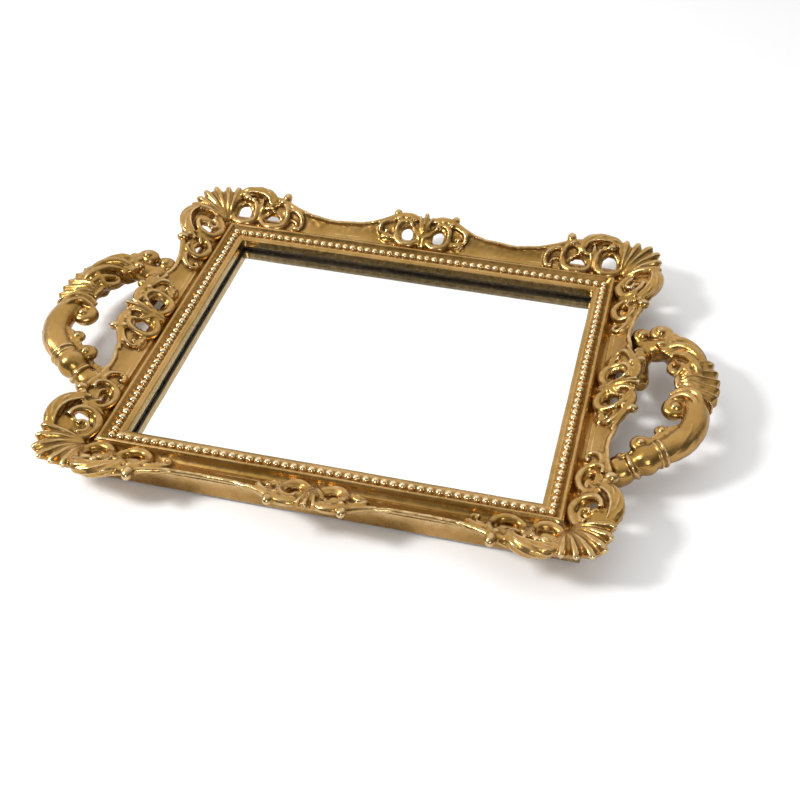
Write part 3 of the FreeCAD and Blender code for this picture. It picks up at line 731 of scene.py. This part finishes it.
def flange(casting, holes):
    """The dished flange from the middle of the short side round the corner to the long side."""
    sizes = shape()
    overlap, bend = 3.0, 34.0
    long_run, short_run = sizes.ridge_x + overlap, sizes.ridge_y + overlap
    whole = long_run + bend + short_run

    def rim(share):
        """The thin raised line inside the flange's edge, and the hollow beside it."""
        return (0.55 * math.exp(-((share - 0.97) * 14) ** 2)
                - 0.45 * math.exp(-((share - 0.84) * 16) ** 2))

    def form(u, v):
        s, share = u * whole, (v + 1) / 2
        if s < long_run:
            along = s - overlap
            out = 5.0 + (eased(LONG_EDGE, abs(along)) - 5.0) * share
            return Vector((along, sizes.ridge_y + out, dish(out) + rim(share)))
        if s > long_run + bend:
            along = whole - s - overlap
            out = 5.0 + (eased(SHORT_EDGE, abs(along)) - 5.0) * share
            return Vector((sizes.ridge_x + out, along, dish(out) + rim(share)))
        angle = math.pi / 2 * (1 - (s - long_run) / bend)
        far = corner_reach(angle, 25.2, 0.55)
        along = 5.0 + (far - 5.0) * share
        return Vector((sizes.ridge_x + math.cos(angle) * along,
                       sizes.ridge_y + math.sin(angle) * along, dish(along * 0.95)))

    casting.sheet(300, 26, form, Vector((0, 0, -2.6)), holes)
    for side, edge, length in (
            (on_long, LONG_EDGE, sizes.ridge_x), (on_short, SHORT_EDGE, sizes.ridge_y)):
        points = []
        steps = 24
        for k in range(-1, steps + 1):
            along = length * k / steps
            points.append((along, eased(edge, abs(along)) - 0.6, -0.5, 1.35))
        run(casting, side, points)


def crest(casting, side):
    """Half of the crest at the middle of a side: a pierced scroll, a leaf and a ball."""
    for points in (
        [(3.4, 21.5, 0.6, 1.2), (1.9, 17, 1.3, 1.5), (2.2, 10.5, 1.5, 1.7), (5.2, 6.8, 1.3, 2.2),
         (10, 5.4, 1.2, 2.5), (14.8, 7.4, 1.2, 2.5), (16.6, 12, 1.3, 2.0), (15.6, 17, 1.3, 1.8),
         (12, 19.4, 1.2, 1.6), (8.6, 18.6, 0.9, 1.4), (7.8, 16.6, 0.6, 1.1)],
        [(4.8, 14, 0.9, 0.8), (5.5, 9.8, 0.9, 1.0), (9.5, 7.9, 0.9, 1.0), (13.4, 9.6, 0.9, 0.9),
         (14.2, 13, 0.9, 0.8)],
        [(4, 22.6, 0.2, 1.6), (9, 24.0, 0.6, 2.2), (15, 23.4, 0.7, 2.4), (20, 21.4, 0.6, 2.2),
         (26, 18.6, 0.3, 1.8), (33, 16.2, 0, 1.3)],
        [(19, 20, 0.8, 1.4), (23.5, 18, 1.0, 1.7), (27, 14.8, 1.0, 1.7), (26.4, 11.4, 0.9, 1.5),
         (23.4, 11.2, 0.9, 1.2), (23.0, 13.2, 1.0, 1.5)],
        [(17.5, 9, 0.5, 1.2), (21, 7.2, 0.5, 1.1), (25, 7.6, 0.3, 0.8)],
        [(0, 8, 2.2, 0.8), (0, 17, 3.0, 1.0), (0, 26, 2.2, 1.5)],
    ):
        run(casting, side, points)
    stretch = (1.0, 1.25, 1.0) if side is on_long else (1.25, 1.0, 1.0)
    casting.ball(side(18.6, 24.8, 1.2), 2.5, stretch)
    casting.ball(side(16.9, 20.0, 1.6), 2.2)
    casting.leaf(
        side(5.5, 21.0, 1.4), side(12.5, 25.4, 3.0), side(22.0, 20.6, 1.0), 2.7, 4, 0.9, 1.6)
    casting.leaf(
        side(16.2, 8.4, 1.2), side(21.5, 10.6, 3.0), side(27.0, 8.2, 0.6), 2.3, 3, 0.8, 1.5)
    across = (1, 0, 0) if side is on_long else (0, 1, 0)
    casting.leaf(side(0, 5.0, 1.0), side(0, 14, 3.6), side(0, 27.2, 1.4), 4.6, 5, 1.2, 2.2, across)
    for lean in (-2.9, 2.9):
        run(casting, side, [(lean * 0.4, 10, 1.6, 0.9), (lean * 0.8, 18, 2.2, 1.1),
                            (lean * 1.5, 24.2, 1.4, 1.2)])


def corner(casting):
    """The corner shell with its pierced scrolls, humps, balls and curling leaves."""
    sizes = shape()
    cx, cy = sizes.ridge_x, sizes.ridge_y
    root = (cx + SHELL_ROOT, cy + SHELL_ROOT, 16.2)

    def reach(angle):
        return corner_reach(angle, 24.0, 0.46)

    def rise(u):
        return 8.8 * math.sin(1.75 * u ** 0.8) - 4.0 * max(0.0, u - 0.82)

    casting.fan(root, SHELL_START, SHELL_STOP, reach, SHELL_LOBES, rise, 3.0, 2.5, 0.16)
    for k in range(SHELL_LOBES):
        angle = math.radians(SHELL_START + (SHELL_STOP - SHELL_START) * (k + 0.5) / SHELL_LOBES)
        out = reach(angle) - 2.2
        tip = Vector((root[0] + math.cos(angle) * out, root[1] + math.sin(angle) * out, 24.6))
        casting.ball(tip, 1.9, (1.3, 1.0, 0.75), math.degrees(angle))
    # long side
    side = on_long
    for points in (
        [(121.8, 19.5, 1.2, 1.5), (124.2, 14, 1.5, 1.8), (123.6, 8.6, 1.4, 2.0),
         (119.6, 4.8, 1.3, 2.6), (113.6, 4.2, 1.3, 2.6), (109.4, 7.6, 1.3, 2.4),
         (108.8, 13.4, 1.4, 1.9), (110.6, 18.0, 1.6, 1.8)],
        [(122.2, 12, 0.8, 0.9), (121.2, 8.0, 0.8, 1.0), (117, 6.2, 0.8, 1.1),
         (112.6, 7.4, 0.8, 1.0), (111.0, 12, 0.8, 0.9)],
        [(123.5, 18.5, 1.0, 1.8), (121, 23.6, 0.8, 2.6), (115, 25.8, 0.6, 3.4),
         (108.5, 25.8, 0.7, 3.7), (102.5, 23.6, 0.9, 3.3), (99.2, 19.0, 1.2, 2.5),
         (100.4, 15.2, 1.0, 1.8), (103.2, 14.8, 0.8, 1.4)],
        [(121.5, 20.6, 2.9, 0.7), (115, 23.0, 3.9, 0.8), (108.5, 22.9, 4.2, 0.9),
         (103, 20.8, 3.9, 0.8), (100.6, 17.2, 3.0, 0.6)],
        [(119, 26.6, 2.2, 0.8), (113, 28.3, 2.0, 1.0), (106, 27.6, 2.2, 1.0),
         (99.8, 24.6, 2.2, 0.8), (97.2, 20.4, 1.8, 0.6)],
        [(104.8, 15.4, 1.2, 1.4), (105.6, 10, 1.2, 1.7), (102.6, 5.6, 1.2, 2.0),
         (97.0, 3.6, 1.2, 2.6), (91.2, 4.9, 1.2, 2.5), (88.2, 9.8, 1.2, 2.3),
         (88.8, 15.4, 1.2, 1.8), (91.4, 19.8, 1.4, 1.9)],
        [(94.5, 19, 1.2, 1.6), (98, 16.4, 1.0, 1.5), (97.2, 13.4, 0.8, 1.2)],
        [(98, 22.5, 0.4, 2.2), (92, 21.4, 0.4, 2.0), (84, 18.2, 0.3, 1.7), (74, 15.4, 0, 1.3)],
        [(89.5, 15.2, 0.8, 1.4), (84.5, 15.8, 0.9, 1.6), (79.8, 13.8, 1.0, 1.8),
         (77.8, 9.4, 1.0, 1.7), (79.4, 5.6, 1.0, 1.5), (82.2, 6.0, 1.1, 1.6)],
        [(86, 11, 0.5, 1.0), (82.5, 10.4, 0.5, 1.1), (81, 8, 0.5, 1.0)],
    ):
        run(casting, side, points)
    fluted(casting, side, [(121, 23.6, 0.8, 2.6), (118, 25.2, 0.7, 3.1), (115, 25.8, 0.6, 3.4),
                           (111.6, 26.1, 0.6, 3.6), (108.5, 25.8, 0.7, 3.7),
                           (105.2, 25.0, 0.8, 3.6), (102.5, 23.6, 0.9, 3.3),
                           (100.2, 21.4, 1.1, 2.8)])
    casting.ball(side(116.6, 19.6, 1.8), 2.6, (1.3, 0.9, 1.0), 20)
    casting.ball(side(112.4, 19.2, 1.4), 2.0)
    casting.ball(side(91.4, 24.4, 1.0), 3.1, (0.92, 1.3, 1.0))
    casting.ball(side(92.8, 19.6, 1.8), 2.3)
    casting.leaf(side(104, 6.5, 0.6), side(107.2, 12, 2.6), side(106.2, 21, 2.0), 2.6, 3, 1.0, 1.5)
    # short side
    side = on_short
    for points in (
        [(97.8, 14.5, 1.4, 1.6), (95.4, 8.4, 1.4, 1.9), (90.4, 5.0, 1.3, 2.1),
         (84.4, 4.4, 1.3, 2.6), (79.4, 8.0, 1.3, 2.5), (78.8, 13.4, 1.4, 2.2),
         (82.4, 17.2, 1.5, 1.8), (87.0, 18.2, 1.5, 1.7)],
        [(94.0, 11.8, 1.4, 1.2), (90.8, 8.6, 1.6, 1.5), (87.0, 9.0, 1.6, 1.5),
         (86.4, 12.0, 1.4, 1.2), (89.0, 13.2, 1.3, 1.0)],
        [(98.5, 20.5, 0.8, 2.2), (95, 24.6, 0.6, 3.0), (89, 25.8, 0.6, 3.7),
         (82.5, 24.8, 0.8, 3.6), (76.8, 21.8, 1.0, 2.9), (72.8, 18.0, 1.1, 2.2),
         (70.4, 14.4, 1.0, 1.7)],
        [(96.5, 21.6, 2.9, 0.7), (89.5, 22.8, 4.2, 0.9), (83, 21.8, 4.3, 0.9),
         (77.4, 18.8, 3.6, 0.7), (74, 15.6, 2.6, 0.5)],
        [(95, 27.0, 2.0, 0.8), (88, 28.4, 2.2, 1.0), (81, 27.2, 2.4, 1.0), (75, 23.6, 2.4, 0.8),
         (71, 19.4, 1.8, 0.6)],
        [(79, 15.5, 1.2, 1.2), (74, 13.4, 1.4, 1.3), (69.5, 10.6, 1.2, 1.1)],
        [(74.5, 13.6, 1.1, 1.5), (73.2, 8.6, 1.2, 1.8), (69, 5.2, 1.2, 2.0), (63.4, 4.6, 1.1, 2.4),
         (58.6, 7.4, 1.1, 2.3), (57.4, 12.2, 1.2, 2.0), (60.4, 15.4, 1.2, 1.5),
         (64.0, 15.6, 1.2, 1.3)],
        [(72, 20, 0.4, 1.9), (64, 19.4, 0.3, 1.8), (56, 17.2, 0.1, 1.4), (47, 16.0, -0.2, 1.2)],
        [(58.5, 13.8, 0.9, 1.4), (53.6, 13.9, 1.0, 1.6), (49.2, 11.6, 1.0, 1.7),
         (47.8, 8.0, 1.0, 1.5), (50.2, 6.0, 1.0, 1.3), (52.6, 7.6, 1.1, 1.4)],
    ):
        run(casting, side, points)
    fluted(casting, side, [(95, 24.6, 0.6, 3.0), (92, 25.4, 0.6, 3.4), (89, 25.8, 0.6, 3.7),
                           (85.6, 25.5, 0.7, 3.7), (82.5, 24.8, 0.8, 3.6),
                           (79.4, 23.5, 0.9, 3.3), (76.8, 21.8, 1.0, 2.9),
                           (74.6, 19.8, 1.05, 2.5)])
    casting.ball(side(67.2, 20.6, 1.2), 2.9, (1.3, 0.95, 1.0))
    casting.ball(side(70.6, 18.0, 1.6), 2.2)
    casting.leaf(side(76.5, 6.0, 0.6), side(77.5, 12, 2.6), side(74.0, 18.5, 2.0), 2.8, 3, 1.0, 1.5)


def carved_quarter():
    """One quarter of the flange with its corner and two half crests."""
    sizes = shape()
    cx, cy = sizes.ridge_x, sizes.ridge_y
    holes = [
        (116.6, cy + 11.6, 4.6, 5.2, 0), (97.2, cy + 9.6, 5.0, 3.9, 10),
        (cx + 13.2, 84.2, 4.4, 3.2, -30), (cx + 10.2, 66.0, 2.4, 4.4, 10),
        (10.0, cy + 12.6, 3.9, 4.6, 0), (cx + 12.6, 10.0, 4.6, 3.9, 0),
    ]
    casting = Casting("carved_quarter")
    flange(casting, holes)
    for x, y, wide, deep, turn in holes:
        rim = []
        for k in range(13):
            angle, lean = math.tau * k / 12, math.radians(turn)
            p, q = (wide + 0.9) * math.cos(angle), (deep + 0.9) * math.sin(angle)
            px = x + p * math.cos(lean) - q * math.sin(lean)
            py = y + p * math.sin(lean) + q * math.cos(lean)
            rim.append((px, py, dish(max(px - cx, py - cy)) - 0.5, 1.35))
        casting.strand(rim)
    crest(casting, on_long)
    crest(casting, on_short)
    corner(casting)
    made = casting.fused(sizes.grain, (((0, 0, 0), (1, 0, 0)), ((0, 0, 0), (0, 1, 0))))
    hand_worked(made, 0.10, 0.35)
    for vert in made.verts:
        if abs(vert.co.x) < 0.2:
            vert.co.x = 0.0
        if abs(vert.co.y) < 0.2:
            vert.co.y = 0.0
    return made


# --- handles ----------------------------------------------------------------------------------
def spiral(centre, radius, start, sweep, thick, close=0.25, steps=9, lift=1.6):
    """A volute that winds inwards about Z and climbs a little towards its eye."""
    points = []
    for k in range(steps + 1):
        share = k / steps
        angle = math.radians(start + sweep * share)
        r = radius * (1 - (1 - close) * share)
        points.append((centre[0] + r * math.cos(angle), centre[1] + r * math.sin(angle),
                       centre[2] + lift * share, thick * (1 - 0.45 * share)))
    return points


def handle():
    """The right-hand handle, from the front root round to the back root."""
    casting = Casting("handle")
    inside = WALL - 1.2
    casting.strand([
        (inside, -53, 9.4, 4.8), (140, -54.5, 11.4, 6.2), (145.5, -55, 14.4, 7.2),
        (150.5, -52.6, 17.4, 5.6), (156, -49.6, 19.8, 8.0), (160.5, -46.6, 21.0, 6.8),
        (165, -43.2, 21.6, 6.6), (170.5, -38.2, 22.0, 7.3), (176, -29.6, 22.2, 7.4),
        (178.4, -19, 22.3, 7.2), (177.2, -8, 22.0, 6.6), (175.2, 2, 21.6, 6.4),
        (174.2, 12, 21.4, 6.8), (173.6, 21, 21.0, 7.6), (171, 30, 20.4, 8.0),
        (165.5, 35.6, 19.4, 7.4), (158, 36.6, 18.0, 6.6), (150, 37, 15.4, 6.2),
        (142, 42, 12.0, 6.0), (inside, 45.6, 9.6, 5.0)])
    casting.ring((163.6, -44.4, 21.5), 6.7, 1.1, (6, 4.6, 0.8))
    casting.ring((161.4, -46.0, 21.1), 6.8, 0.7, (6, 4.6, 0.8))
    casting.ring((150.6, -52.6, 17.3), 5.9, 1.4, (6, 3.2, 3.4))
    casting.ring((139.0, -54.2, 11.2), 5.8, 1.1, (6, -1.2, 2.4))
    # curls inside the front bend
    casting.strand(spiral((152.6, -40.6, 19.4), 4.6, -70, 460, 3.8))
    casting.ball((152.6, -40.6, 22.2), 2.8)
    casting.strand(spiral((162.0, -31.0, 21.8), 2.9, -60, 400, 2.9, 0.3, 7, 1.0))
    casting.ball((162.0, -31.0, 24.0), 2.0)
    casting.leaf((158, -38, 22.0), (163, -33, 26.0), (171.5, -24.6, 23.6), 3.0, 5, 1.0, 2.6)
    casting.leaf((146, -48, 14.5), (150, -45, 20.5), (157.5, -41, 21.0), 3.4, 4, 1.0, 2.6)
    casting.leaf((139, -48.6, 10.5), (142.5, -45.5, 15.5), (149.5, -44, 17.0), 3.6, 3, 1.2, 2.4)
    casting.wound([(160.6, -46.4, 20.9, 6.6), (165.0, -43.0, 21.5, 6.6), (170.4, -38.0, 21.9, 7.3),
                   (175.4, -30.6, 22.2, 7.4), (178.0, -22.0, 22.3, 7.2)], 3, 0.3, 1.3, 0.95)
    casting.wound([(140.5, -54.5, 11.8, 6.2), (144.0, -54.9, 13.6, 6.9), (147.5, -54.2, 15.6, 6.4)],
                  5, 0.2, 1.5, 0.6)
    # volute that the outer bend rolls into
    casting.strand(spiral((167.6, -12.6, 20.6), 5.2, 30, 420, 4.4))
    casting.ball((167.4, -12.6, 23.6), 3.4)
    casting.strand([(178.6, -22, 25.6, 1.2), (177.6, -13, 27.8, 1.7), (172.8, -6.4, 27.6, 1.9),
                    (166.4, -6.2, 25.0, 1.8), (162.6, -9.8, 22.4, 1.4)])
    casting.strand([(180.6, -20, 25.0, 1.0), (180.2, -10, 27.2, 1.5), (175.6, -3.0, 27.8, 1.8),
                    (169.0, -2.0, 26.2, 1.7), (163.6, -4.0, 23.4, 1.3)])
    # pleated leaf that wraps the bar and flares to its outer tip
    def pleated(u, v):
        share = (v + 1) / 2
        pleat = math.cos(math.tau * 5 * share)
        flare = 1 - (2 * share - 0.9) ** 2
        u *= 0.91 + 0.045 * (1 + pleat)
        point = along_points([
            Vector((171.4, 3.0 + 6.8 * share, 20.8)),
            Vector((168.2, 1.8 + 9.6 * share, 25.4)),
            Vector((172.6, -0.8 + 16.2 * share, 28.0)),
            Vector((179.4, -4.8 + 24.0 * share, 27.2)),
            Vector((184.2 + 3.4 * flare, -8.0 + 31.4 * share, 25.2)),
            Vector((184.6 + 3.4 * flare, -9.0 + 34.0 * share, 19.4))], u)
        out = (point - Vector((174.6, point.y, 20.6))).normalized()
        depth = 1.05 * pleat + 0.30 * math.cos(math.tau * 15 * share)
        return point + out * depth * (0.25 + 0.75 * u)

    casting.sheet(46, 90, pleated, Vector((-1.6, 0, -2.6)))
    casting.strand([(168.4, 0.4, 22.4, 1.2), (167.0, 3.0, 24.0, 1.7), (166.4, 6.4, 24.6, 1.9),
                    (167.0, 9.8, 24.2, 1.7), (168.4, 12.4, 22.8, 1.2)])
    casting.strand([(165.0, 10.5, 22.4, 2.2), (168.6, 14.0, 26.2, 2.2), (174.0, 18.2, 27.6, 2.1),
                    (180.4, 22.6, 25.6, 1.9), (184.0, 26.0, 21.6, 1.5)])
    # twisted flutes round the back bend
    back_bend = [(174.4, 9, 21.4, 6.6), (174.0, 15, 21.4, 7.4), (173.0, 21, 21.0, 7.9),
                 (170.8, 27, 20.6, 8.1), (167.4, 31.8, 20.0, 7.9), (163.0, 35.2, 19.2, 7.3),
                 (158.0, 36.8, 18.2, 6.6)]
    casting.wound(back_bend, 7, 0.42, 2.5)
    casting.strand([(169.0, 12.2, 24.6, 1.6), (164.4, 13.6, 23.4, 2.2), (161.6, 17.4, 22.2, 2.0),
                    (163.0, 21.6, 22.6, 1.5), (165.8, 20.4, 23.8, 1.1)])
    # rosette, drop and upright volutes by the back root
    for angle in range(0, 360, 60):
        x = 159.6 + 4.4 * math.cos(math.radians(angle))
        y = 34.4 + 4.8 * math.sin(math.radians(angle))
        casting.ball((x, y, 23.6), 2.7, (1.25, 0.75, 0.8), angle)
    casting.ball((159.6, 34.4, 25.0), 2.0)
    casting.leaf((166.4, 26.4, 22.5), (160, 27, 27.2), (153.6, 33.4, 22.5), 3.4, 4, 1.2, 3.0)
    casting.leaf((167.2, 40.6, 21.0), (160.6, 43.6, 26.0), (155.0, 40.6, 22.8), 3.2, 4, 1.2, 3.0)
    casting.strand(spiral((153.6, 44.2, 20.8), 4.4, -30, 440, 4.0))
    casting.ball((153.6, 44.2, 23.8), 3.0)
    casting.strand([(159, 40, 20.0, 3.4), (158.4, 46.2, 20.6, 3.4), (154.6, 49.4, 20.8, 3.2)])
    casting.strand(spiral((143.8, 44.4, 16.4), 4.2, 0, 400, 3.9))
    casting.ball((143.8, 44.4, 19.2), 3.0)
    casting.strand([(147.6, 35.5, 15.2, 5.4), (144.6, 27, 14.6, 5.8), (144.8, 19, 13.8, 6.2),
                    (146.6, 12.0, 13.0, 5.4), (147.4, 9.6, 12.8, 3.6)])
    casting.leaf((143.6, 33, 19.4), (144.2, 24, 24.0), (147.6, 13.6, 18.2), 3.6, 4, 1.2, 2.8)
    made = casting.fused(shape().grain * 0.88)
    hand_worked(made, 0.16, 0.28)
    return made


# --- operators --------------------------------------------------------------------------------
class TRAY_OT_moulding(bpy.types.Operator):
    """Build the mitred moulding and the row of beads"""

    bl_idname = "tray.moulding"
    bl_label = "Moulding and beads"

    def execute(self, context):
        sizes = shape()
        frame_piece = piece("frame_moulding", moulding(), gilding(), "gilded_resin", ["tray_frame"],
                            wear_and_shading=0.4)
        # A second material paints the foot of the opening's wall dark: painted shade.
        frame_piece.data.materials.append(shaded_rebate_band())
        for face in frame_piece.data.polygons:
            middle = face.center / MM
            inside = (abs(middle.x) < sizes.ridge_x - REBATE_INSET
                      and abs(middle.y) < sizes.ridge_y - REBATE_INSET)
            if inside and middle.z < REBATE_TOP:
                face.material_index = 1
        piece("bead_row", bead_row(), gilding(), "gilded_resin", ["tray_frame"])
        return {"FINISHED"}


class TRAY_OT_carving(bpy.types.Operator):
    """Build the carved flange in four mirrored quarters"""

    bl_idname = "tray.carving"
    bl_label = "Carved flange"

    def execute(self, context):
        quarter = carved_quarter()
        for name, flip_x, flip_y in (
                ("back_right", False, False), ("back_left", True, False),
                ("front_right", False, True), ("front_left", True, True)):
            piece("carved_flange_" + name, mirrored(quarter, flip_x, flip_y), gilding(),
                  "gilded_resin", ["tray_frame"])
        quarter.free()
        return {"FINISHED"}


class TRAY_OT_handles(bpy.types.Operator):
    """Build the two scrolled handles"""

    bl_idname = "tray.handles"
    bl_label = "Handles"

    def execute(self, context):
        made = handle()
        left = mirrored(made, True, False)
        piece("scroll_handle_right", made, gilding(), "gilded_resin", ["handle_right"])
        piece("scroll_handle_left", left, gilding(), "gilded_resin", ["handle_left"])
        return {"FINISHED"}


class TRAY_OT_mirror(bpy.types.Operator):
    """Finish the glass, its silvering and what lies behind it"""

    bl_idname = "tray.mirror"
    bl_label = "Mirror and backing"

    def execute(self, context):
        for name, node, slot, lift, material in (
                ("mirror_plate", "mirror_glass", "mirror_glass", 0.03, cast_glass()),
                ("silver_coat", "mirror_silvering", "silvering", 0.0, silver())):
            plate = slab(*node_box(node, lift))
            if lift:
                bevelled(plate, plate.edges[:], 0.12, 1)
            piece(name, plate, material, slot, [node], smooth=False, wear_and_shading=0.0)
        finishes = {
            "cushion_sheet": fibre("grey_foam", (0.35, 0.35, 0.34), 1800.0),
            "backing_board": hardboard(),
            "retaining_clips": plain_metal("zinc_sheet", (0.60, 0.61, 0.63), 0.38, 420.0),
            "clip_screws": plain_metal("zinc_screw", (0.62, 0.58, 0.44), 0.34, 600.0),
        }
        pin = plain_metal("dowel_steel", (0.50, 0.50, 0.51), 0.42, 500.0)
        for side in ("left", "right"):
            for end in ("front", "back"):
                finishes[f"dowel_{side}_{end}"] = pin
        for node, material in finishes.items():
            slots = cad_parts[node].material_slots
            if not slots:
                raise RuntimeError(f"{node} has no material slot")
            for one in slots:
                one.material = material
        return {"FINISHED"}


class TRAY_OT_felt(bpy.types.Operator):
    """Lay the felt sheet and its four feet"""

    bl_idname = "tray.felt"
    bl_label = "Felt base"

    def execute(self, context):
        sheet = slab(*node_box("base_felt"))
        upright = [e for e in sheet.edges if abs(e.verts[0].co.z - e.verts[1].co.z) > 0.1]
        bevelled(sheet, upright, 4.5, 6)
        bevelled(sheet, level_edges(sheet), 0.25, 2)
        black = fibre("black_felt", tuple(finish().felt), 2200.0)
        piece("felt_sheet", sheet, black, "felt", ["base_felt"], smooth=False, wear_and_shading=0.0)
        pad = fibre("felt_pad", (0.03, 0.026, 0.022), 2600.0)
        for name in ("front_left", "front_right", "back_left", "back_right"):
            low, high = node_box("foot_" + name)
            radius = (high.x - low.x) / 2
            foot = bmesh.new()
            bmesh.ops.create_cone(foot, cap_ends=True, segments=48, radius1=radius, radius2=radius,
                                  depth=high.z - low.z, matrix=Matrix.Translation((low + high) / 2))
            bevelled(foot, level_edges(foot), 0.22, 3)
            piece("felt_foot_" + name, foot, pad, "foot_felt", ["foot_" + name],
                  smooth=False, wear_and_shading=0.0)
        return {"FINISHED"}


class TRAY_OT_stage(bpy.types.Operator):
    """Set the floor, the soft lights and the camera"""

    bl_idname = "tray.stage"
    bl_label = "Stage"

    def execute(self, context):
        scene = context.scene
        scene.view_settings.view_transform = "Standard"
        made = bmesh.new()
        bmesh.ops.create_grid(made, x_segments=1, y_segments=1, size=6.0)
        mesh = bpy.data.meshes.new("floor")
        made.to_mesh(mesh)
        made.free()
        paint = Paint("floor_paper")
        mesh.materials.append(paint.surface(Base_Color=(0.93, 0.93, 0.93, 1.0), Roughness=0.9))
        floor = bpy.data.objects.new("floor", mesh)
        scene.collection.objects.link(floor)
        scene.world = soft_room()
        for name, place, size, power in (
                ("key_left", (-0.95, -0.35, 0.9), 0.26, 15.0),
                ("fill_front", (0.45, -1.2, 0.8), 0.22, 6.0)):
            light = bpy.data.lights.new(name, "AREA")
            light.size, light.energy = size, power
            lamp = bpy.data.objects.new(name, light)
            lamp.location = place
            lamp.rotation_euler = (-Vector(place)).to_track_quat("-Z", "Y").to_euler()
            scene.collection.objects.link(lamp)
        lens = bpy.data.cameras.new("camera")
        lens.sensor_width, lens.lens = 36.0, 50.49
        lens.shift_x = -0.09375
        camera = bpy.data.objects.new("camera", lens)
        right = Vector((0.97538, 0.22049, 0.00293))
        up = Vector((-0.15896, 0.69388, 0.70233))
        camera.matrix_world = Matrix.Translation((0.15414, -0.43406, 0.44275)) @ Matrix(
            (right, up, right.cross(up))).transposed().to_4x4()
        scene.collection.objects.link(camera)
        scene.camera = camera
        return {"FINISHED"}


class TRAY_PT_panel(bpy.types.Panel):
    """Sizes, colours and steps of the vanity tray"""

    bl_idname = "TRAY_PT_panel"
    bl_label = "Vanity tray"
    bl_space_type = "VIEW_3D"
    bl_region_type = "UI"
    bl_category = "Vanity tray"

    def draw(self, context):
        for group in (shape(), finish()):
            for name in group.__annotations__:
                self.layout.prop(group, name)
        for operator in STEPS:
            self.layout.operator(operator.bl_idname)


STEPS = (TRAY_OT_moulding, TRAY_OT_carving, TRAY_OT_handles, TRAY_OT_mirror, TRAY_OT_felt,
         TRAY_OT_stage)
CLASSES = (TrayShape, TrayFinish, *STEPS, TRAY_PT_panel)


def register():
    for cls in CLASSES:
        bpy.utils.register_class(cls)
    bpy.types.Scene.vanity_tray_shape = bpy.props.PointerProperty(type=TrayShape)
    bpy.types.Scene.vanity_tray_finish = bpy.props.PointerProperty(type=TrayFinish)


def unregister():
    del bpy.types.Scene.vanity_tray_finish
    del bpy.types.Scene.vanity_tray_shape
    for cls in reversed(CLASSES):
        bpy.utils.unregister_class(cls)


def main():
    register()
    bpy.ops.tray.moulding()
    bpy.ops.tray.carving()
    bpy.ops.tray.handles()
    bpy.ops.tray.mirror()
    bpy.ops.tray.felt()
    bpy.ops.tray.stage()


if __name__ == "__main__":
    main()
